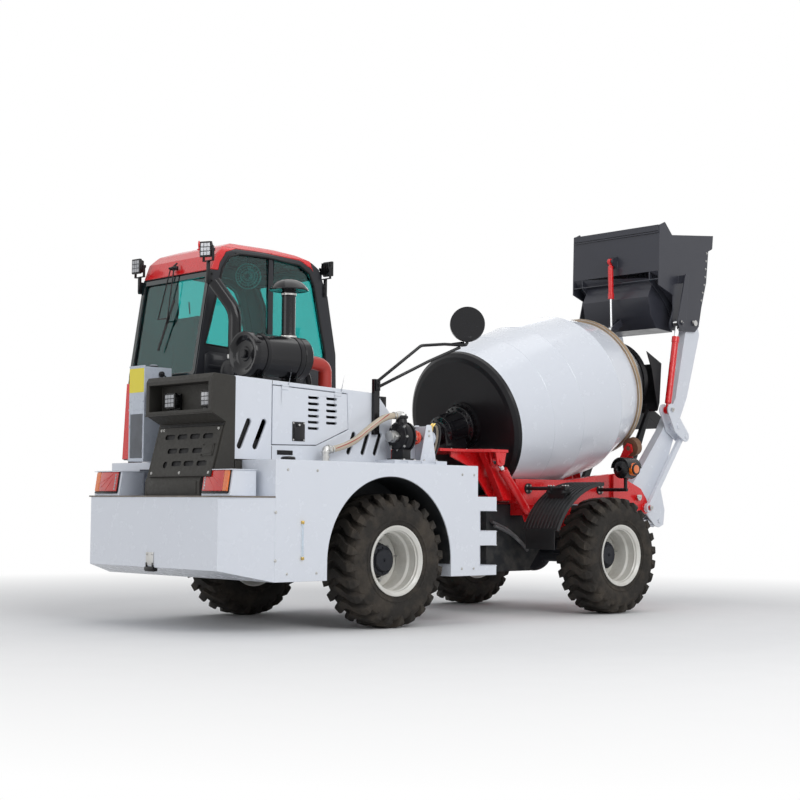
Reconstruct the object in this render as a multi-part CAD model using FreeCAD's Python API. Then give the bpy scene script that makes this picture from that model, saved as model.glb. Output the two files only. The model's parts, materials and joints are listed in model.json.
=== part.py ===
import FreeCAD, Part
import math
import os

# Self-loading concrete mixer, millimetres.  +X runs forward to the bucket, +Y to the left, +Z up.
# Lengths along X are measured from the rear axle; place() moves the finished machine so that the
# origin lies on the ground in the middle of its length and width.

V = FreeCAD.Vector
X, Y, Z = V(1, 0, 0), V(0, 1, 0), V(0, 0, 1)
RIGHT, LEFT = -1, 1

# ---------------------------------------------------------------- driving dimensions
WHEELBASE = 2850.0
TRACK = 1830.0
TYRE_R = 537.5
TYRE_W = 386.0
RIM_R = 282.0
RIM_DROP = 24.0
BODY_HALF_W = 1108.0
CHASSIS_CLEAR = 385.0       # underside of both chassis above the ground
DECK_TOP = 1317.0
DECK_T = 60.0
DECK_END = 910.0
SKIRT_BOTTOM = 400.0
BODY_REAR = -1267.0
BOX_REAR = -1616.0          # rear face of the counterweight box
BOX_TOP = 1040.0
BOX_REAR_HALF_W = 865.0
BOX_LIP = 12.0              # plate edge that stands out round the box top
ARCH_X = -80.0
ARCH_R = 672.0
TANK_IN = 690.0             # inner face of the side tanks
STEP_FRONT = 1140.0
STEP_TOP = 1060.0
STEP_IN = 800.0
PIVOT_X = 1430.0            # articulation pin
PIVOT_R = 40.0
RUN_FIT = 0.05              # radial clearance of a pin in its bore
GAP = 6.0                   # clearance between moving pieces

CAB_IN, CAB_OUT = 130.0, 1100.0
CAB_FLOOR = 1345.0
CAB_WALL = 45.0
CAB_SILL = 2240.0
CAB_REAR_SILL = 2010.0
ROOF_EDGE = 2905.0
CAB_TOP_ROUND = 150.0
GLASS_T = 6.0
DOOR_HINGE = (259.0, 1104.2)

HOOD_OUT, HOOD_IN = -700.0, 80.0
HOOD_REAR, HOOD_FRONT = -1345.0, 290.0
HOOD_TOP_REAR, HOOD_TOP_FRONT = 1962.0, 1905.0
HOOD_WALL = 25.0
HOOD_AXIS = 7.5              # hinge line of the side door, outside its face
SHROUD_REAR = -1568.0
SHROUD_IN = 170.0

DRUM_X, DRUM_Z = 1902.0, 1751.0   # centre of the rear head rim
DRUM_TILT = 14.42
DRUM_HEAD_R = 691.0
DRUM_R = 794.0
DRUM_MOUTH_R = 350.0
DRUM_CONE_END = 770.0             # distances along the drum axis from the head rim
DRUM_BELLY_END = 1350.0
DRUM_TRACK_S = 1777.0
DRUM_TRACK_R = 701.0
DRUM_TRACK_W = 52.0
DRUM_MOUTH_S = 2350.0
DRUM_WALL = 7.0
ROLLER_R = 92.0
ROLLER_ANGLE = 38.0
ROLLER_W = 70.0

CRADLE_HINGE = (3450.0, 1080.0)
CRADLE_TOP_PIN = (1690.0, 1390.0)
CRADLE_LOW_PIN = (2130.0, 890.0)
CRADLE_CYL_Y = 600.0
PEDESTAL_Z = 1465.0
PEDESTAL_T = 26.0
CRADLE_IN, CRADLE_OUT = 340.0, 410.0

BEAM_IN, BEAM_OUT = 460.0, 540.0
ARM_IN, ARM_OUT = 455.0, 545.0
FORK_T = 17.0
ARM_PIVOT = (3750.0, 1080.0)
TIE_LOW = (3875.0, 980.0)
ARM_HEEL = (4140.0, 850.0)
CRANK_PIVOT = (4300.0, 1810.0)
CRANK_TOP = (4190.0, 1970.0)
BUCKET_PIVOT = (4700.0, 2900.0)
BUCKET_PIN = (4360.0, 2870.0)
GATE_PIVOT = (4500.0, 3050.0)
GATE_CYL_TOP = (4035.0, 3530.0)
GATE_CYL_LOW = (4055.0, 2822.0)
LIFT_BASE = (2720.0, 800.0)
LIFT_Y = 500.0
LINK_Y = 610.0                    # plane of tie rods and bucket cylinders
ARM_CROSS = (4100.0, 1045.0)
BUCKET_LIP = 5050.0
BUCKET_HALF_W = 570.0
CHUTE_HALF_W = 448.0               # below the throat the bucket narrows so that the arms pass it
BUCKET_SIDE_T = 15.0
BUCKET_SKIN = 12.0
PIN_R = 30.0

TIE_TOP = (CRANK_PIVOT[0] + TIE_LOW[0] - ARM_PIVOT[0], CRANK_PIVOT[1] + TIE_LOW[1] - ARM_PIVOT[1])
STEER_BASE = (955.0, -360.0)
STEER_END = (1712.0, -280.0)
STEER_Z = 720.0

AXLE_Z = TYRE_R
TYRE_Y = TRACK / 2
FRONT_X = WHEELBASE
X_MIDDLE = (BOX_REAR - BOX_LIP + BUCKET_LIP) / 2


# ---------------------------------------------------------------- small makers
def box(x0, x1, y0, y1, z0, z1):
    low = V(min(x0, x1), min(y0, y1), min(z0, z1))
    return Part.makeBox(abs(x1 - x0), abs(y1 - y0), abs(z1 - z0), low)


def cyl(start, direction, length, radius):
    return Part.makeCylinder(radius, length, start, direction)


def ring(start, direction, length, outer, inner):
    return cyl(start, direction, length, outer).cut(cyl(start, direction, length, inner))


def face_of(points):
    return Part.Face(Part.makePolygon(points + [points[0]]))


def plate_y(points, y0, y1):
    """An outline in the XZ plane, thick from y0 to y1."""
    low, high = min(y0, y1), max(y0, y1)
    return face_of([V(x, low, z) for x, z in points]).extrude(V(0, high - low, 0))


def plate_x(points, x0, x1):
    """An outline in the YZ plane, thick from x0 to x1."""
    return face_of([V(x0, y, z) for y, z in points]).extrude(V(x1 - x0, 0, 0))


def plate_z(points, z0, z1):
    """An outline in the XY plane, thick from z0 to z1."""
    return face_of([V(x, y, z0) for x, y in points]).extrude(V(0, 0, z1 - z0))


def fuse(pieces):
    result = pieces[0]
    if len(pieces) > 1:
        result = result.multiFuse(pieces[1:])
    return result.removeSplitter()


def cut(base, tools):
    for tool in tools:
        base = base.cut(tool)
    return base


def group(pieces):
    return Part.makeCompound(pieces)


def mirrored(shape):
    return shape.mirror(V(0, 0, 0), Y)


def pair(shape):
    """The piece and its twin on the other side, which don't touch."""
    return group([shape, mirrored(shape)])


def at(pin, y):
    return V(pin[0], y, pin[1])


def round_y(pin, y0, y1, radius):
    """A round boss, pin or bore along Y at a pin's place."""
    return cyl(at(pin, min(y0, y1)), Y, abs(y1 - y0), radius)


def link_y(pin_a, radius_a, pin_b, radius_b, y0, y1):
    """A flat link with two round ends and straight flanks."""
    dx, dz = pin_b[0] - pin_a[0], pin_b[1] - pin_a[1]
    length = math.hypot(dx, dz)
    lean = math.asin((radius_a - radius_b) / length)
    base = math.atan2(dz, dx)
    corners = []
    for pin, radius, side in ((pin_a, radius_a, 1), (pin_b, radius_b, 1),
                              (pin_b, radius_b, -1), (pin_a, radius_a, -1)):
        angle = base + side * (math.pi / 2 - lean)
        corners.append((pin[0] + radius * math.cos(angle), pin[1] + radius * math.sin(angle)))
    return fuse([plate_y(corners, y0, y1), round_y(pin_a, y0, y1, radius_a),
                 round_y(pin_b, y0, y1, radius_b)])


def revolve(points, start, direction, up):
    """Revolve (distance, radius) points round the line from start along direction."""
    verts = [start + direction * s + up * r for s, r in points]
    return face_of(verts).revolve(start, direction, 360)


def path_wire(points, bend):
    """Straight runs joined by tangent arcs of the given radius."""
    edges = []
    last = points[0]
    for i in range(1, len(points) - 1):
        before = (points[i - 1] - points[i]).normalize()
        after = (points[i + 1] - points[i]).normalize()
        half = before.getAngle(after) / 2
        cut_back = bend / math.tan(half)
        begin = points[i] + before * cut_back
        end = points[i] + after * cut_back
        middle_way = (before + after).normalize()
        middle = points[i] + middle_way * (bend / math.sin(half) - bend)
        edges.append(Part.LineSegment(last, begin).toShape())
        edges.append(Part.Arc(begin, middle, end).toShape())
        last = end
    edges.append(Part.LineSegment(last, points[-1]).toShape())
    return Part.Wire(edges)


def bent_tube(points, bend, radius, bore=0.0):
    wire = path_wire(points, bend)
    direction = (points[1] - points[0]).normalize()
    outer = Part.Wire(Part.makeCircle(radius, points[0], direction))
    solid = wire.makePipeShell([outer], True, False)
    if bore:
        inner = Part.Wire(Part.makeCircle(bore, points[0], direction))
        solid = solid.cut(wire.makePipeShell([inner], True, False))
    return solid


def toward(pin_a, pin_b):
    return V(pin_b[0] - pin_a[0], 0, pin_b[1] - pin_a[1]).normalize()


def barrel(pin_a, pin_b, y, radius, length, eye_w, eye_r, pin_r, rod_r, start=58.0):
    """A cylinder barrel: base eye at pin_a, gland collar at the far end, open for its rod."""
    way = toward(pin_a, pin_b)
    base = at(pin_a, y)
    eye = round_y(pin_a, y - eye_w / 2, y + eye_w / 2, eye_r)
    tube = cyl(base + way * start, way, length - start, radius)
    neck = cyl(base, way, start + 5, eye_w / 2 - 1)
    collar = cyl(base + way * (length - 60), way, 60, radius + 5)
    solid = fuse([eye, tube, neck, collar])
    bore = cyl(base + way * (start + 12), way, length, rod_r + RUN_FIT)
    hole = round_y(pin_a, y - eye_w, y + eye_w, pin_r)
    return solid.cut(bore).cut(hole)


def rod(pin_a, pin_b, y, radius, inside, eye_w, eye_r, pin_r):
    """A piston rod: eye at pin_b, the bar runs back into the barrel as far as inside from pin_a.

    With pin_r zero the eye is solid: the fork plates carry a pin stub each side of it.
    """
    way = toward(pin_b, pin_a)
    end = at(pin_b, y)
    whole = (at(pin_a, y) - end).Length
    bar = cyl(end, way, whole - inside, radius)
    eye = round_y(pin_b, y - eye_w / 2, y + eye_w / 2, eye_r)
    whole_rod = fuse([bar, eye])
    if pin_r <= 0:
        return whole_rod
    return whole_rod.cut(round_y(pin_b, y - eye_w, y + eye_w, pin_r))


def pin_stubs(pin, y, eye_w, half_fork, head, radius):
    """Two pin stubs in the fork plates round a rod eye, the outer one with a head outside the fork."""
    near = eye_w / 2 + 2
    return [round_y(pin, y - half_fork, y - near, radius), round_y(pin, y + near, y + half_fork + head, radius)]


# ---------------------------------------------------------------- wheels and axles
HUB_BORE_END = 880.0
SPINDLE_R = 50.0
DISC_IN = 800.0


def tyre(x, side):
    half = TYRE_W / 2
    right = [(half - 90, TYRE_R), (half - 34, TYRE_R - 14), (half - 6, TYRE_R - 62), (half, RIM_R + 110),
             (half - 8, RIM_R + 34), (half - 27, RIM_R + 1), (half - 29, RIM_R + 1), (half - 29, RIM_R - RIM_DROP)]
    profile = [(-s, r) for s, r in right[::-1]] + right
    return revolve(profile, V(x, side * TYRE_Y, AXLE_Z), Y, Z)


def rim(x, side):
    """Rim barrel with flanges, wheel disc and planetary hub, in one rotating piece."""
    half = TYRE_W / 2
    centre = V(x, 0, AXLE_Z)
    out = V(0, side, 0)
    edge = TYRE_Y + half - 28
    inner = TYRE_Y - half + 28
    well = RIM_R - RIM_DROP
    profile = [(inner - 12, RIM_R), (inner, RIM_R), (inner, well), (edge, well), (edge, RIM_R),
               (edge + 12, RIM_R), (edge + 12, RIM_R - 14), (edge - 8, well - 12),
               (edge - 80, well - 16), (inner + 90, well - 30), (inner - 12, well - 10)]
    rim_ring = revolve(profile, centre, out, Z)
    disc = cyl(centre + out * DISC_IN, out, 22, well - 20)
    hub = cyl(centre + out * DISC_IN, out, 118, 128)
    nose = cyl(centre + out * (DISC_IN + 118), out, 30, 92)
    bore = cyl(centre + out * (DISC_IN - 1), out, HUB_BORE_END - DISC_IN + 1, SPINDLE_R + RUN_FIT)
    return fuse([rim_ring, disc, hub, nose]).cut(bore)


def axle(x):
    """Axle housing with its differential, end flanges and spindles, and the mounting pads."""
    centre = V(x, 0, AXLE_Z)
    pieces = [cyl(centre - Y * 700, Y, 1400, 80),
              Part.makeSphere(178, centre),
              cyl(centre - X * 215, X, 60, 62),
              cyl(centre - Y * (DISC_IN - GAP), Y, 2 * (DISC_IN - GAP), SPINDLE_R + 20),
              cyl(centre - Y * (HUB_BORE_END - GAP), Y, 2 * (HUB_BORE_END - GAP), SPINDLE_R)]
    for side in (RIGHT, LEFT):
        pieces.append(cyl(centre + Y * side * 640, Y * side, 60, 118))
        pieces.append(box(x - 95, x + 95, side * 330, side * 420, AXLE_Z, AXLE_PAD_TOP))
    return fuse(pieces)


AXLE_PAD_TOP = 660.0


# ---------------------------------------------------------------- rear module
def rear_chassis():
    """Two rails on the rear axle, cross members and the articulation yoke with its pin."""
    rail_top = DECK_TOP - DECK_T
    pieces = []
    for side in (RIGHT, LEFT):
        rail = [(-1200, 860), (-1200, rail_top), (DECK_END, rail_top), (DECK_END, 470),
                (560, 470), (430, AXLE_PAD_TOP), (-430, AXLE_PAD_TOP), (-560, 860)]
        pieces.append(plate_y(rail, side * 330, side * 420))
    pieces.append(box(DECK_END - 30, DECK_END, -420, 420, 470, rail_top))
    pieces.append(box(-1200, -1170, -420, 420, 860, rail_top))
    pieces.append(box(-60, 60, -330, 330, 1100, rail_top))
    for z in (YOKE_LOW, YOKE_HIGH):
        outline = plate_z([(DECK_END - 10, -230), (PIVOT_X, -110), (PIVOT_X, 110),
                           (DECK_END - 10, 230)], z, z + YOKE_T)
        pieces.append(outline)
        pieces.append(cyl(V(PIVOT_X, 0, z), Z, YOKE_T, 110))
    pin = cyl(V(PIVOT_X, 0, YOKE_LOW - 12), Z, YOKE_HIGH - YOKE_LOW + YOKE_T + 24, PIVOT_R)
    base = box(DECK_END - 10, STEER_BASE[0] + 45, STEER_BASE[1] - 50, STEER_BASE[1] + 50,
               STEER_Z - 62, STEER_Z - 32)
    top = base.translated(V(0, 0, 94))
    back = box(DECK_END - 30, STEER_BASE[0] - 48, STEER_BASE[1] - 50, STEER_BASE[1] + 50, STEER_Z - 62,
               STEER_Z + 62)
    steer_pin = cyl(V(STEER_BASE[0], STEER_BASE[1], STEER_Z - 62), Z, 124, 20)
    return fuse(pieces + [pin, base, top, back, steer_pin])


YOKE_T = 40.0
YOKE_LOW, YOKE_HIGH = 510.0, 880.0


def rear_body():
    """Deck plate, side tanks with the wheel arches, and the step blocks before them."""
    deck = box(BODY_REAR, DECK_END, -BODY_HALF_W, BODY_HALF_W, DECK_TOP - DECK_T, DECK_TOP)
    pieces = [deck]
    for side in (RIGHT, LEFT):
        tank = box(BODY_REAR, DECK_END, side * TANK_IN, side * BODY_HALF_W, SKIRT_BOTTOM,
                   DECK_TOP - DECK_T)
        arch = cyl(V(ARCH_X, side * (TANK_IN - 5), AXLE_Z), V(0, side, 0),
                   BODY_HALF_W - TANK_IN + 10, ARCH_R)
        slot = box(ARCH_X - ARCH_R, ARCH_X + ARCH_R, side * (TANK_IN - 5), side * (BODY_HALF_W + 5),
                   SKIRT_BOTTOM - 5, AXLE_Z)
        pieces.append(tank.cut(arch).cut(slot))
        block = box(DECK_END, STEP_FRONT, side * STEP_IN, side * BODY_HALF_W, SKIRT_BOTTOM, STEP_TOP)
        for tread in STEP_TREADS:
            block = block.cut(box(STEP_BACK, STEP_FRONT + 5, side * (STEP_IN + 120),
                                  side * (BODY_HALF_W + 5), tread, tread + STEP_OPEN))
        pieces.append(block)
    return fuse(pieces)


STEP_TREADS = (480.0, 770.0)
STEP_OPEN = 170.0
STEP_BACK = 935.0


def rear_box():
    """Counterweight box behind the tanks: its underside rises to the rear."""
    outline = [(BODY_REAR, -BODY_HALF_W), (BODY_REAR, BODY_HALF_W), (BOX_REAR, BOX_REAR_HALF_W),
               (BOX_REAR, -BOX_REAR_HALF_W)]
    block = plate_z(outline, SKIRT_BOTTOM, BOX_TOP - BOX_LIP)
    under = plate_y([(BODY_REAR, SKIRT_BOTTOM), (BOX_REAR - 20, SKIRT_BOTTOM + 88),
                     (BOX_REAR - 20, SKIRT_BOTTOM - 20), (BODY_REAR, SKIRT_BOTTOM - 20)],
                    -BODY_HALF_W - 20, BODY_HALF_W + 20)
    lip = [(BODY_REAR, -BODY_HALF_W), (BODY_REAR, BODY_HALF_W),
           (BOX_REAR - BOX_LIP, BOX_REAR_HALF_W + BOX_LIP / 2),
           (BOX_REAR - BOX_LIP, -BOX_REAR_HALF_W - BOX_LIP / 2)]
    return fuse([block.cut(under), plate_z(lip, BOX_TOP - BOX_LIP, BOX_TOP)])


def tail_lamps():
    body = plate_y([(LAMP_REAR, BOX_TOP), (LAMP_REAR + 30, LAMP_TOP), (LAMP_FRONT, LAMP_TOP),
                    (LAMP_FRONT, BOX_TOP)], LAMP_IN, LAMP_OUT)
    return pair(body)


LAMP_REAR, LAMP_FRONT = -1550.0, -1305.0
LAMP_IN, LAMP_OUT, LAMP_TOP = 560.0, 925.0, 1234.0


def rounded_slot(x0, z0, x1, z1, radius, y0, y1):
    return link_y((x0, z0), radius, (x1, z1), radius - 0.01, y0, y1)


HOOD_DOOR = [(-985.0, 1440.0), (-530.0, 1450.0), (-190.0, 1590.0), (-205.0, 1885.0), (-985.0, 1912.0)]


def hood_outline(inset):
    return [(HOOD_REAR, DECK_TOP), (HOOD_REAR, HOOD_TOP_REAR - inset),
            (HOOD_FRONT - 170, HOOD_TOP_FRONT - inset), (HOOD_FRONT - inset, HOOD_TOP_FRONT - 175 - inset),
            (HOOD_FRONT - inset, DECK_TOP)]


def hood_block():
    """The room the hood takes, for pieces that stand on its sloping top."""
    return plate_y(hood_outline(0), HOOD_OUT, HOOD_IN)


def hood_shell():
    """Hollow engine hood with the side door cut out and air slots."""
    outer = hood_block()
    inner = plate_y(hood_outline(HOOD_WALL), HOOD_OUT + HOOD_WALL, HOOD_IN - HOOD_WALL)
    door = plate_y(HOOD_DOOR, HOOD_OUT - 1, HOOD_OUT + HOOD_WALL + 1)
    tools = [inner, door]
    for x in (-1210, -1060):
        tools.append(rounded_slot(x, 1615, x - 85, 1425, 23, HOOD_OUT - 1, HOOD_OUT + HOOD_WALL + 1))
    for x in (-130, 25, 160):
        tools.append(rounded_slot(x, 1555 if x < 0 else 1560, x - 55, 1410, 20, HOOD_OUT - 1,
                                  HOOD_OUT + HOOD_WALL + 1))
    return cut(outer, tools)


def hood_door():
    """Side service door, as thick as the hood wall, with its louvre slots."""
    inset = [(HOOD_DOOR[0][0] + GAP, HOOD_DOOR[0][1] + GAP), (HOOD_DOOR[1][0], HOOD_DOOR[1][1] + GAP),
             (HOOD_DOOR[2][0] - GAP, HOOD_DOOR[2][1] + GAP), (HOOD_DOOR[3][0] - GAP, HOOD_DOOR[3][1] - GAP),
             (HOOD_DOOR[4][0] + GAP, HOOD_DOOR[4][1] - GAP)]
    panel = plate_y(inset, HOOD_OUT, HOOD_OUT + HOOD_WALL)
    tools = []
    for column, (x, count) in enumerate(((-620, 6), (-430, 5))):
        for row in range(count):
            z = 1832 - row * 49
            tools.append(rounded_slot(x + 12, z, x + 103, z, 11, HOOD_OUT - 1, HOOD_OUT + HOOD_WALL + 1))
    door = cut(panel, tools)
    high, low = HOOD_DOOR[4], HOOD_DOOR[3]
    along = V(low[0] - high[0], 0, low[1] - high[1]).normalize()
    hinges = []
    for distance in (90, 640):
        start = V(high[0], HOOD_OUT - HOOD_AXIS, high[1] + 2) + along * distance
        hinges.append(cyl(start, along, 70, 6))
        hinges.append(box(start.x, start.x + 70, HOOD_OUT - 9, HOOD_OUT - 1, start.z - 34, start.z))
        hinges.append(box(start.x, start.x + 70, HOOD_OUT - 9, HOOD_OUT + 2, start.z - 34, start.z - 20))
    return fuse([door] + hinges)


def rear_shroud():
    """Rear grille hood: visor over a lamp recess, a raked grille and an apron."""
    profile = [(HOOD_REAR, BOX_TOP), (HOOD_REAR, 1957), (-1548, 1970), (SHROUD_REAR, 1932),
               (SHROUD_REAR, 1670), (-1432, 1602), (-1545, 1190), (-1565, 1150), (-1565, BOX_TOP)]
    solid = plate_y(profile, HOOD_OUT - 5, SHROUD_IN)
    recess = plate_y([(SHROUD_REAR - 5, 1905), (-1440, 1905), (-1440, 1690), (SHROUD_REAR - 5, 1700)],
                     HOOD_OUT + 45, SHROUD_IN - 45)
    grille = plate_y([(-1462, 1570), (-1552, 1215), (-1620, 1215), (-1530, 1570)],
                     HOOD_OUT + 70, SHROUD_IN - 70)
    below_deck = box(BODY_REAR - 1, HOOD_REAR + 1, HOOD_OUT - 10, SHROUD_IN + 10, BOX_TOP - 1, DECK_TOP)
    foot = box(HOOD_REAR - 30, BODY_REAR, HOOD_OUT, HOOD_IN, BOX_TOP, DECK_TOP)
    notch = box(SHROUD_REAR - 5, LAMP_FRONT + 2, HOOD_OUT - 10, -LAMP_IN + 2, BOX_TOP - 1, LAMP_TOP + 2)
    return fuse([cut(solid, [recess, grille, below_deck]), foot]).cut(notch)


def engine_block():
    return box(-1180, -20, HOOD_OUT + 140, HOOD_IN - 110, DECK_TOP, 1760)


def cooler_box():
    """Condenser box behind the cab, with a finned core window in its rear face."""
    body = box(-1465, -1200, 347, 565, DECK_TOP, 2085)
    core = box(-1470, -1452, 367, 545, 1345, 1700)
    cap = cyl(V(-1310, 450, 2085), Z, 26, 32)
    return fuse([body.cut(core), cap])


def cab_profile(inset):
    """Side outline of the cab, drawn in by inset."""
    return [(-1160 + inset, CAB_FLOOR + inset), (-1125 + inset, CAB_REAR_SILL),
            (-985 + inset, 2900), (-930 + inset, 3040 - inset * 0.5), (-850 + inset * 0.6, 3115 - inset * 0.9),
            (-700, 3168 - inset), (-360, 3170 - inset), (-50, 3135 - inset),
            (85 - inset * 0.3, 3098 - inset), (180 - inset * 0.8, 3030 - inset * 0.6), (285 - inset, 2800),
            (385 - inset, 2300), (392 - inset, 2020), (392 - inset, CAB_FLOOR + inset)]


def cab_cross(inset):
    """Front outline of the cab with its rounded roof edges."""
    top = 3170 - inset
    low = CAB_FLOOR + inset
    r = CAB_TOP_ROUND
    y0, y1 = CAB_IN + inset, CAB_OUT - inset
    d = r * (1 - math.sqrt(0.5))
    return Part.Face(Part.Wire([
        Part.LineSegment(V(0, y0, low), V(0, y1, low)).toShape(),
        Part.LineSegment(V(0, y1, low), V(0, y1, top - r)).toShape(),
        Part.Arc(V(0, y1, top - r), V(0, y1 - d, top - d), V(0, y1 - r, top)).toShape(),
        Part.LineSegment(V(0, y1 - r, top), V(0, y0 + r, top)).toShape(),
        Part.Arc(V(0, y0 + r, top), V(0, y0 + d, top - d), V(0, y0, top - r)).toShape(),
        Part.LineSegment(V(0, y0, top - r), V(0, y0, low)).toShape()]))


def cab_solid(inset):
    side = plate_y(cab_profile(inset), CAB_IN + inset, CAB_OUT - inset)
    front = cab_cross(inset).translated(V(-1300, 0, 0)).extrude(V(1900, 0, 0))
    return side.common(front)


SIDE_WINDOW = [(-1030.0, 2285.0), (-985.0, 2450.0), (-862.0, 2930.0), (-800.0, 3025.0),
               (-690.0, 3066.0), (-400.0, 3070.0), (-40.0, 3045.0), (70.0, 2985.0), (125.0, 2880.0),
               (262.0, 2290.0), (262.0, 2180.0), (-330.0, CAB_SILL)]
DOOR_OUTLINE = [(-700.0, 1400.0), (-700.0, 3000.0), (-500.0, 3042.0), (-60.0, 3016.0),
                (45.0, 2962.0), (100.0, 2862.0), (255.0, 2240.0), (262.0, 1400.0)]
DOOR_WINDOW = [(-640.0, 2080.0), (-640.0, 2935.0), (-480.0, 2975.0), (-80.0, 2950.0),
               (-5.0, 2910.0), (45.0, 2825.0), (190.0, 2225.0), (190.0, 1760.0), (-200.0, 1760.0),
               (-330.0, 2080.0)]


def inset_points(points, amount):
    """Move each point of a convex-like outline towards its middle by about amount."""
    cx = sum(p[0] for p in points) / len(points)
    cz = sum(p[1] for p in points) / len(points)
    half_x = max(abs(p[0] - cx) for p in points)
    half_z = max(abs(p[1] - cz) for p in points)
    return [(cx + (x - cx) * (1 - amount / half_x), cz + (z - cz) * (1 - amount / half_z))
            for x, z in points]


def rear_window(inset):
    return [(CAB_IN + 45 + inset, CAB_REAR_SILL + 40 + inset), (CAB_OUT - 45 - inset, CAB_REAR_SILL + 40 + inset),
            (CAB_OUT - 45 - inset, 2850 - inset), (CAB_IN + 45 + inset, 2850 - inset)]


def front_window(inset):
    return [(CAB_IN + 80 + inset, 1720 + inset), (CAB_OUT - 80 - inset, 1720 + inset),
            (CAB_OUT - 80 - inset, 2960 - inset), (CAB_IN + 80 + inset, 2960 - inset)]


def roof_zone():
    """The space of the roof cap: over the rear edge line and outside the side window frame."""
    over = plate_y([(-1200, ROOF_EDGE), (-1200, 3400), (100, 3400), (100, ROOF_EDGE)], 0, 1300)
    frame = [(x + (x + 380) * 0.055, z + 42 if z > 2700 else z) for x, z in SIDE_WINDOW]
    return over.cut(plate_y(frame, 0, 1300))


def cab_hollow():
    """Cab walls with every window and the door opening cut."""
    walls = cab_solid(0).cut(cab_solid(CAB_WALL))
    tools = [plate_y(SIDE_WINDOW, CAB_IN - 5, CAB_IN + CAB_WALL + 60),
             plate_y(DOOR_OUTLINE, CAB_OUT - CAB_WALL - 60, CAB_OUT + 5),
             plate_x(rear_window(0), -1250, -850),
             plate_x(front_window(0), 60, 460)]
    return cut(walls, tools)


def cab_shell():
    shell = cab_hollow().cut(roof_zone())
    mullion = plate_y([(-375, CAB_SILL - 5), (-375, 3075), (-320, 3075), (-320, CAB_SILL - 5)],
                      CAB_IN + 4, CAB_IN + CAB_WALL - 4)
    feet = [box(x, x + 90, y, y + 90, DECK_TOP, CAB_FLOOR + 5)
            for x in (-1120, 270) for y in (CAB_IN + 10, CAB_OUT - 100)]
    return fuse([shell, mullion] + feet)


def cab_roof():
    return cab_hollow().common(roof_zone())


def cab_glass():
    """Side, rear and front panes, each set in its opening."""
    mid = CAB_IN + CAB_WALL / 2
    side = plate_y(SIDE_WINDOW, mid - GLASS_T / 2, mid + GLASS_T / 2)
    halves = [side.common(box(-1300, -376, 0, 400, 2000, 3300)),
              side.common(box(-319, 500, 0, 400, 2000, 3300))]
    rear = plate_x(rear_window(0), -1250, -850).common(cab_solid(14).cut(cab_solid(14 + GLASS_T)))
    front = plate_x(front_window(0), 60, 460).common(cab_solid(14).cut(cab_solid(14 + GLASS_T)))
    return group(halves + [rear, front])


def cab_door():
    """Left door: a frame as thick as the cab wall, with its window cut."""
    leaf = plate_y(inset_points(DOOR_OUTLINE, GAP + 2), CAB_OUT - CAB_WALL, CAB_OUT)
    leaf = leaf.common(cab_solid(0))
    window = plate_y(DOOR_WINDOW, CAB_OUT - CAB_WALL - 5, CAB_OUT + 5)
    hinges = []
    for z in (1500, 2100):
        hinges.append(cyl(V(DOOR_HINGE[0], DOOR_HINGE[1], z), Z, 80, 3.5))
        hinges.append(box(DOOR_HINGE[0] - 60, DOOR_HINGE[0], CAB_OUT + 0.7, CAB_OUT + 6, z, z + 80))
        hinges.append(box(DOOR_HINGE[0] - 60, DOOR_HINGE[0] - 20, CAB_OUT - 1, CAB_OUT + 6, z, z + 80))
    return fuse([leaf.cut(window)] + hinges)


def cab_door_glass():
    middle = CAB_OUT - CAB_WALL / 2
    return plate_y(DOOR_WINDOW, middle - GLASS_T / 2, middle + GLASS_T / 2)


SEAT_X, SEAT_Y = -760.0, 640.0


def seat():
    """Cushion and backrest, plain soft blocks."""
    cushion = box(SEAT_X - 60, SEAT_X + 420, SEAT_Y - 240, SEAT_Y + 240, 1800, 1910)
    back = plate_y([(SEAT_X - 60, 1912), (SEAT_X + 50, 1912), (SEAT_X - 70, 2600), (SEAT_X - 160, 2600)],
                   SEAT_Y - 230, SEAT_Y + 230)
    return group([cushion, back])


def cab_console():
    """Seat box, steering column and wheel, standing on the cab floor."""
    floor = CAB_FLOOR + CAB_WALL
    plinth = box(SEAT_X - 40, SEAT_X + 380, SEAT_Y - 200, SEAT_Y + 200, floor, 1799)
    foot = box(100, 260, SEAT_Y - 80, SEAT_Y + 80, floor, floor + 60)
    column = cyl(V(190, SEAT_Y, floor) + V(-0.28, 0, 0.96) * 30, V(-0.28, 0, 0.96), 610, 42)
    top = V(190, SEAT_Y, floor) + V(-0.28, 0, 0.96).normalize() * 640
    way = V(-0.28, 0, 0.96).normalize()
    wheel = Part.makeTorus(175, 15, top + way * 20, way)
    spokes = [cyl(top + way * 20, direction, 172, 10)
              for direction in (Y, -Y, way.cross(Y))]
    boss = cyl(top - way * 4, way, 40, 40)
    return group([plinth, fuse([foot, column, boss, wheel] + spokes)])


FILTER_Y, FILTER_Z, FILTER_R = -440.0, 2163.0, 170.0
FILTER_X0, FILTER_X1 = -1060.0, -490.0


def air_filter():
    """Air filter drum on its cradle, with the intake stack and rain cap."""
    body = cyl(V(FILTER_X0, FILTER_Y, FILTER_Z), X, FILTER_X1 - FILTER_X0, FILTER_R)
    cap = cyl(V(FILTER_X0 - 22, FILTER_Y, FILTER_Z), X, 60, FILTER_R + 9)
    outlet = cyl(V(FILTER_X1, FILTER_Y, FILTER_Z - 20), X, 50, 58)
    saddles = [box(x, x + 40, FILTER_Y - 110, FILTER_Y + 110, hood_top(x + 40) - 20, FILTER_Z - 100)
               for x in (-960, -620)]
    stack = cyl(V(STACK_X, FILTER_Y, FILTER_Z + 120), Z, 430, 56)
    hat = revolve([(0, 0), (0, 158), (12, 160), (40, 140), (70, 95), (88, 40), (92, 0)],
                  V(STACK_X, FILTER_Y, FILTER_Z + 545), Z, X)
    return fuse([body, cap, outlet, stack, hat] + saddles).cut(hood_block())


STACK_X = -620.0


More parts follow.
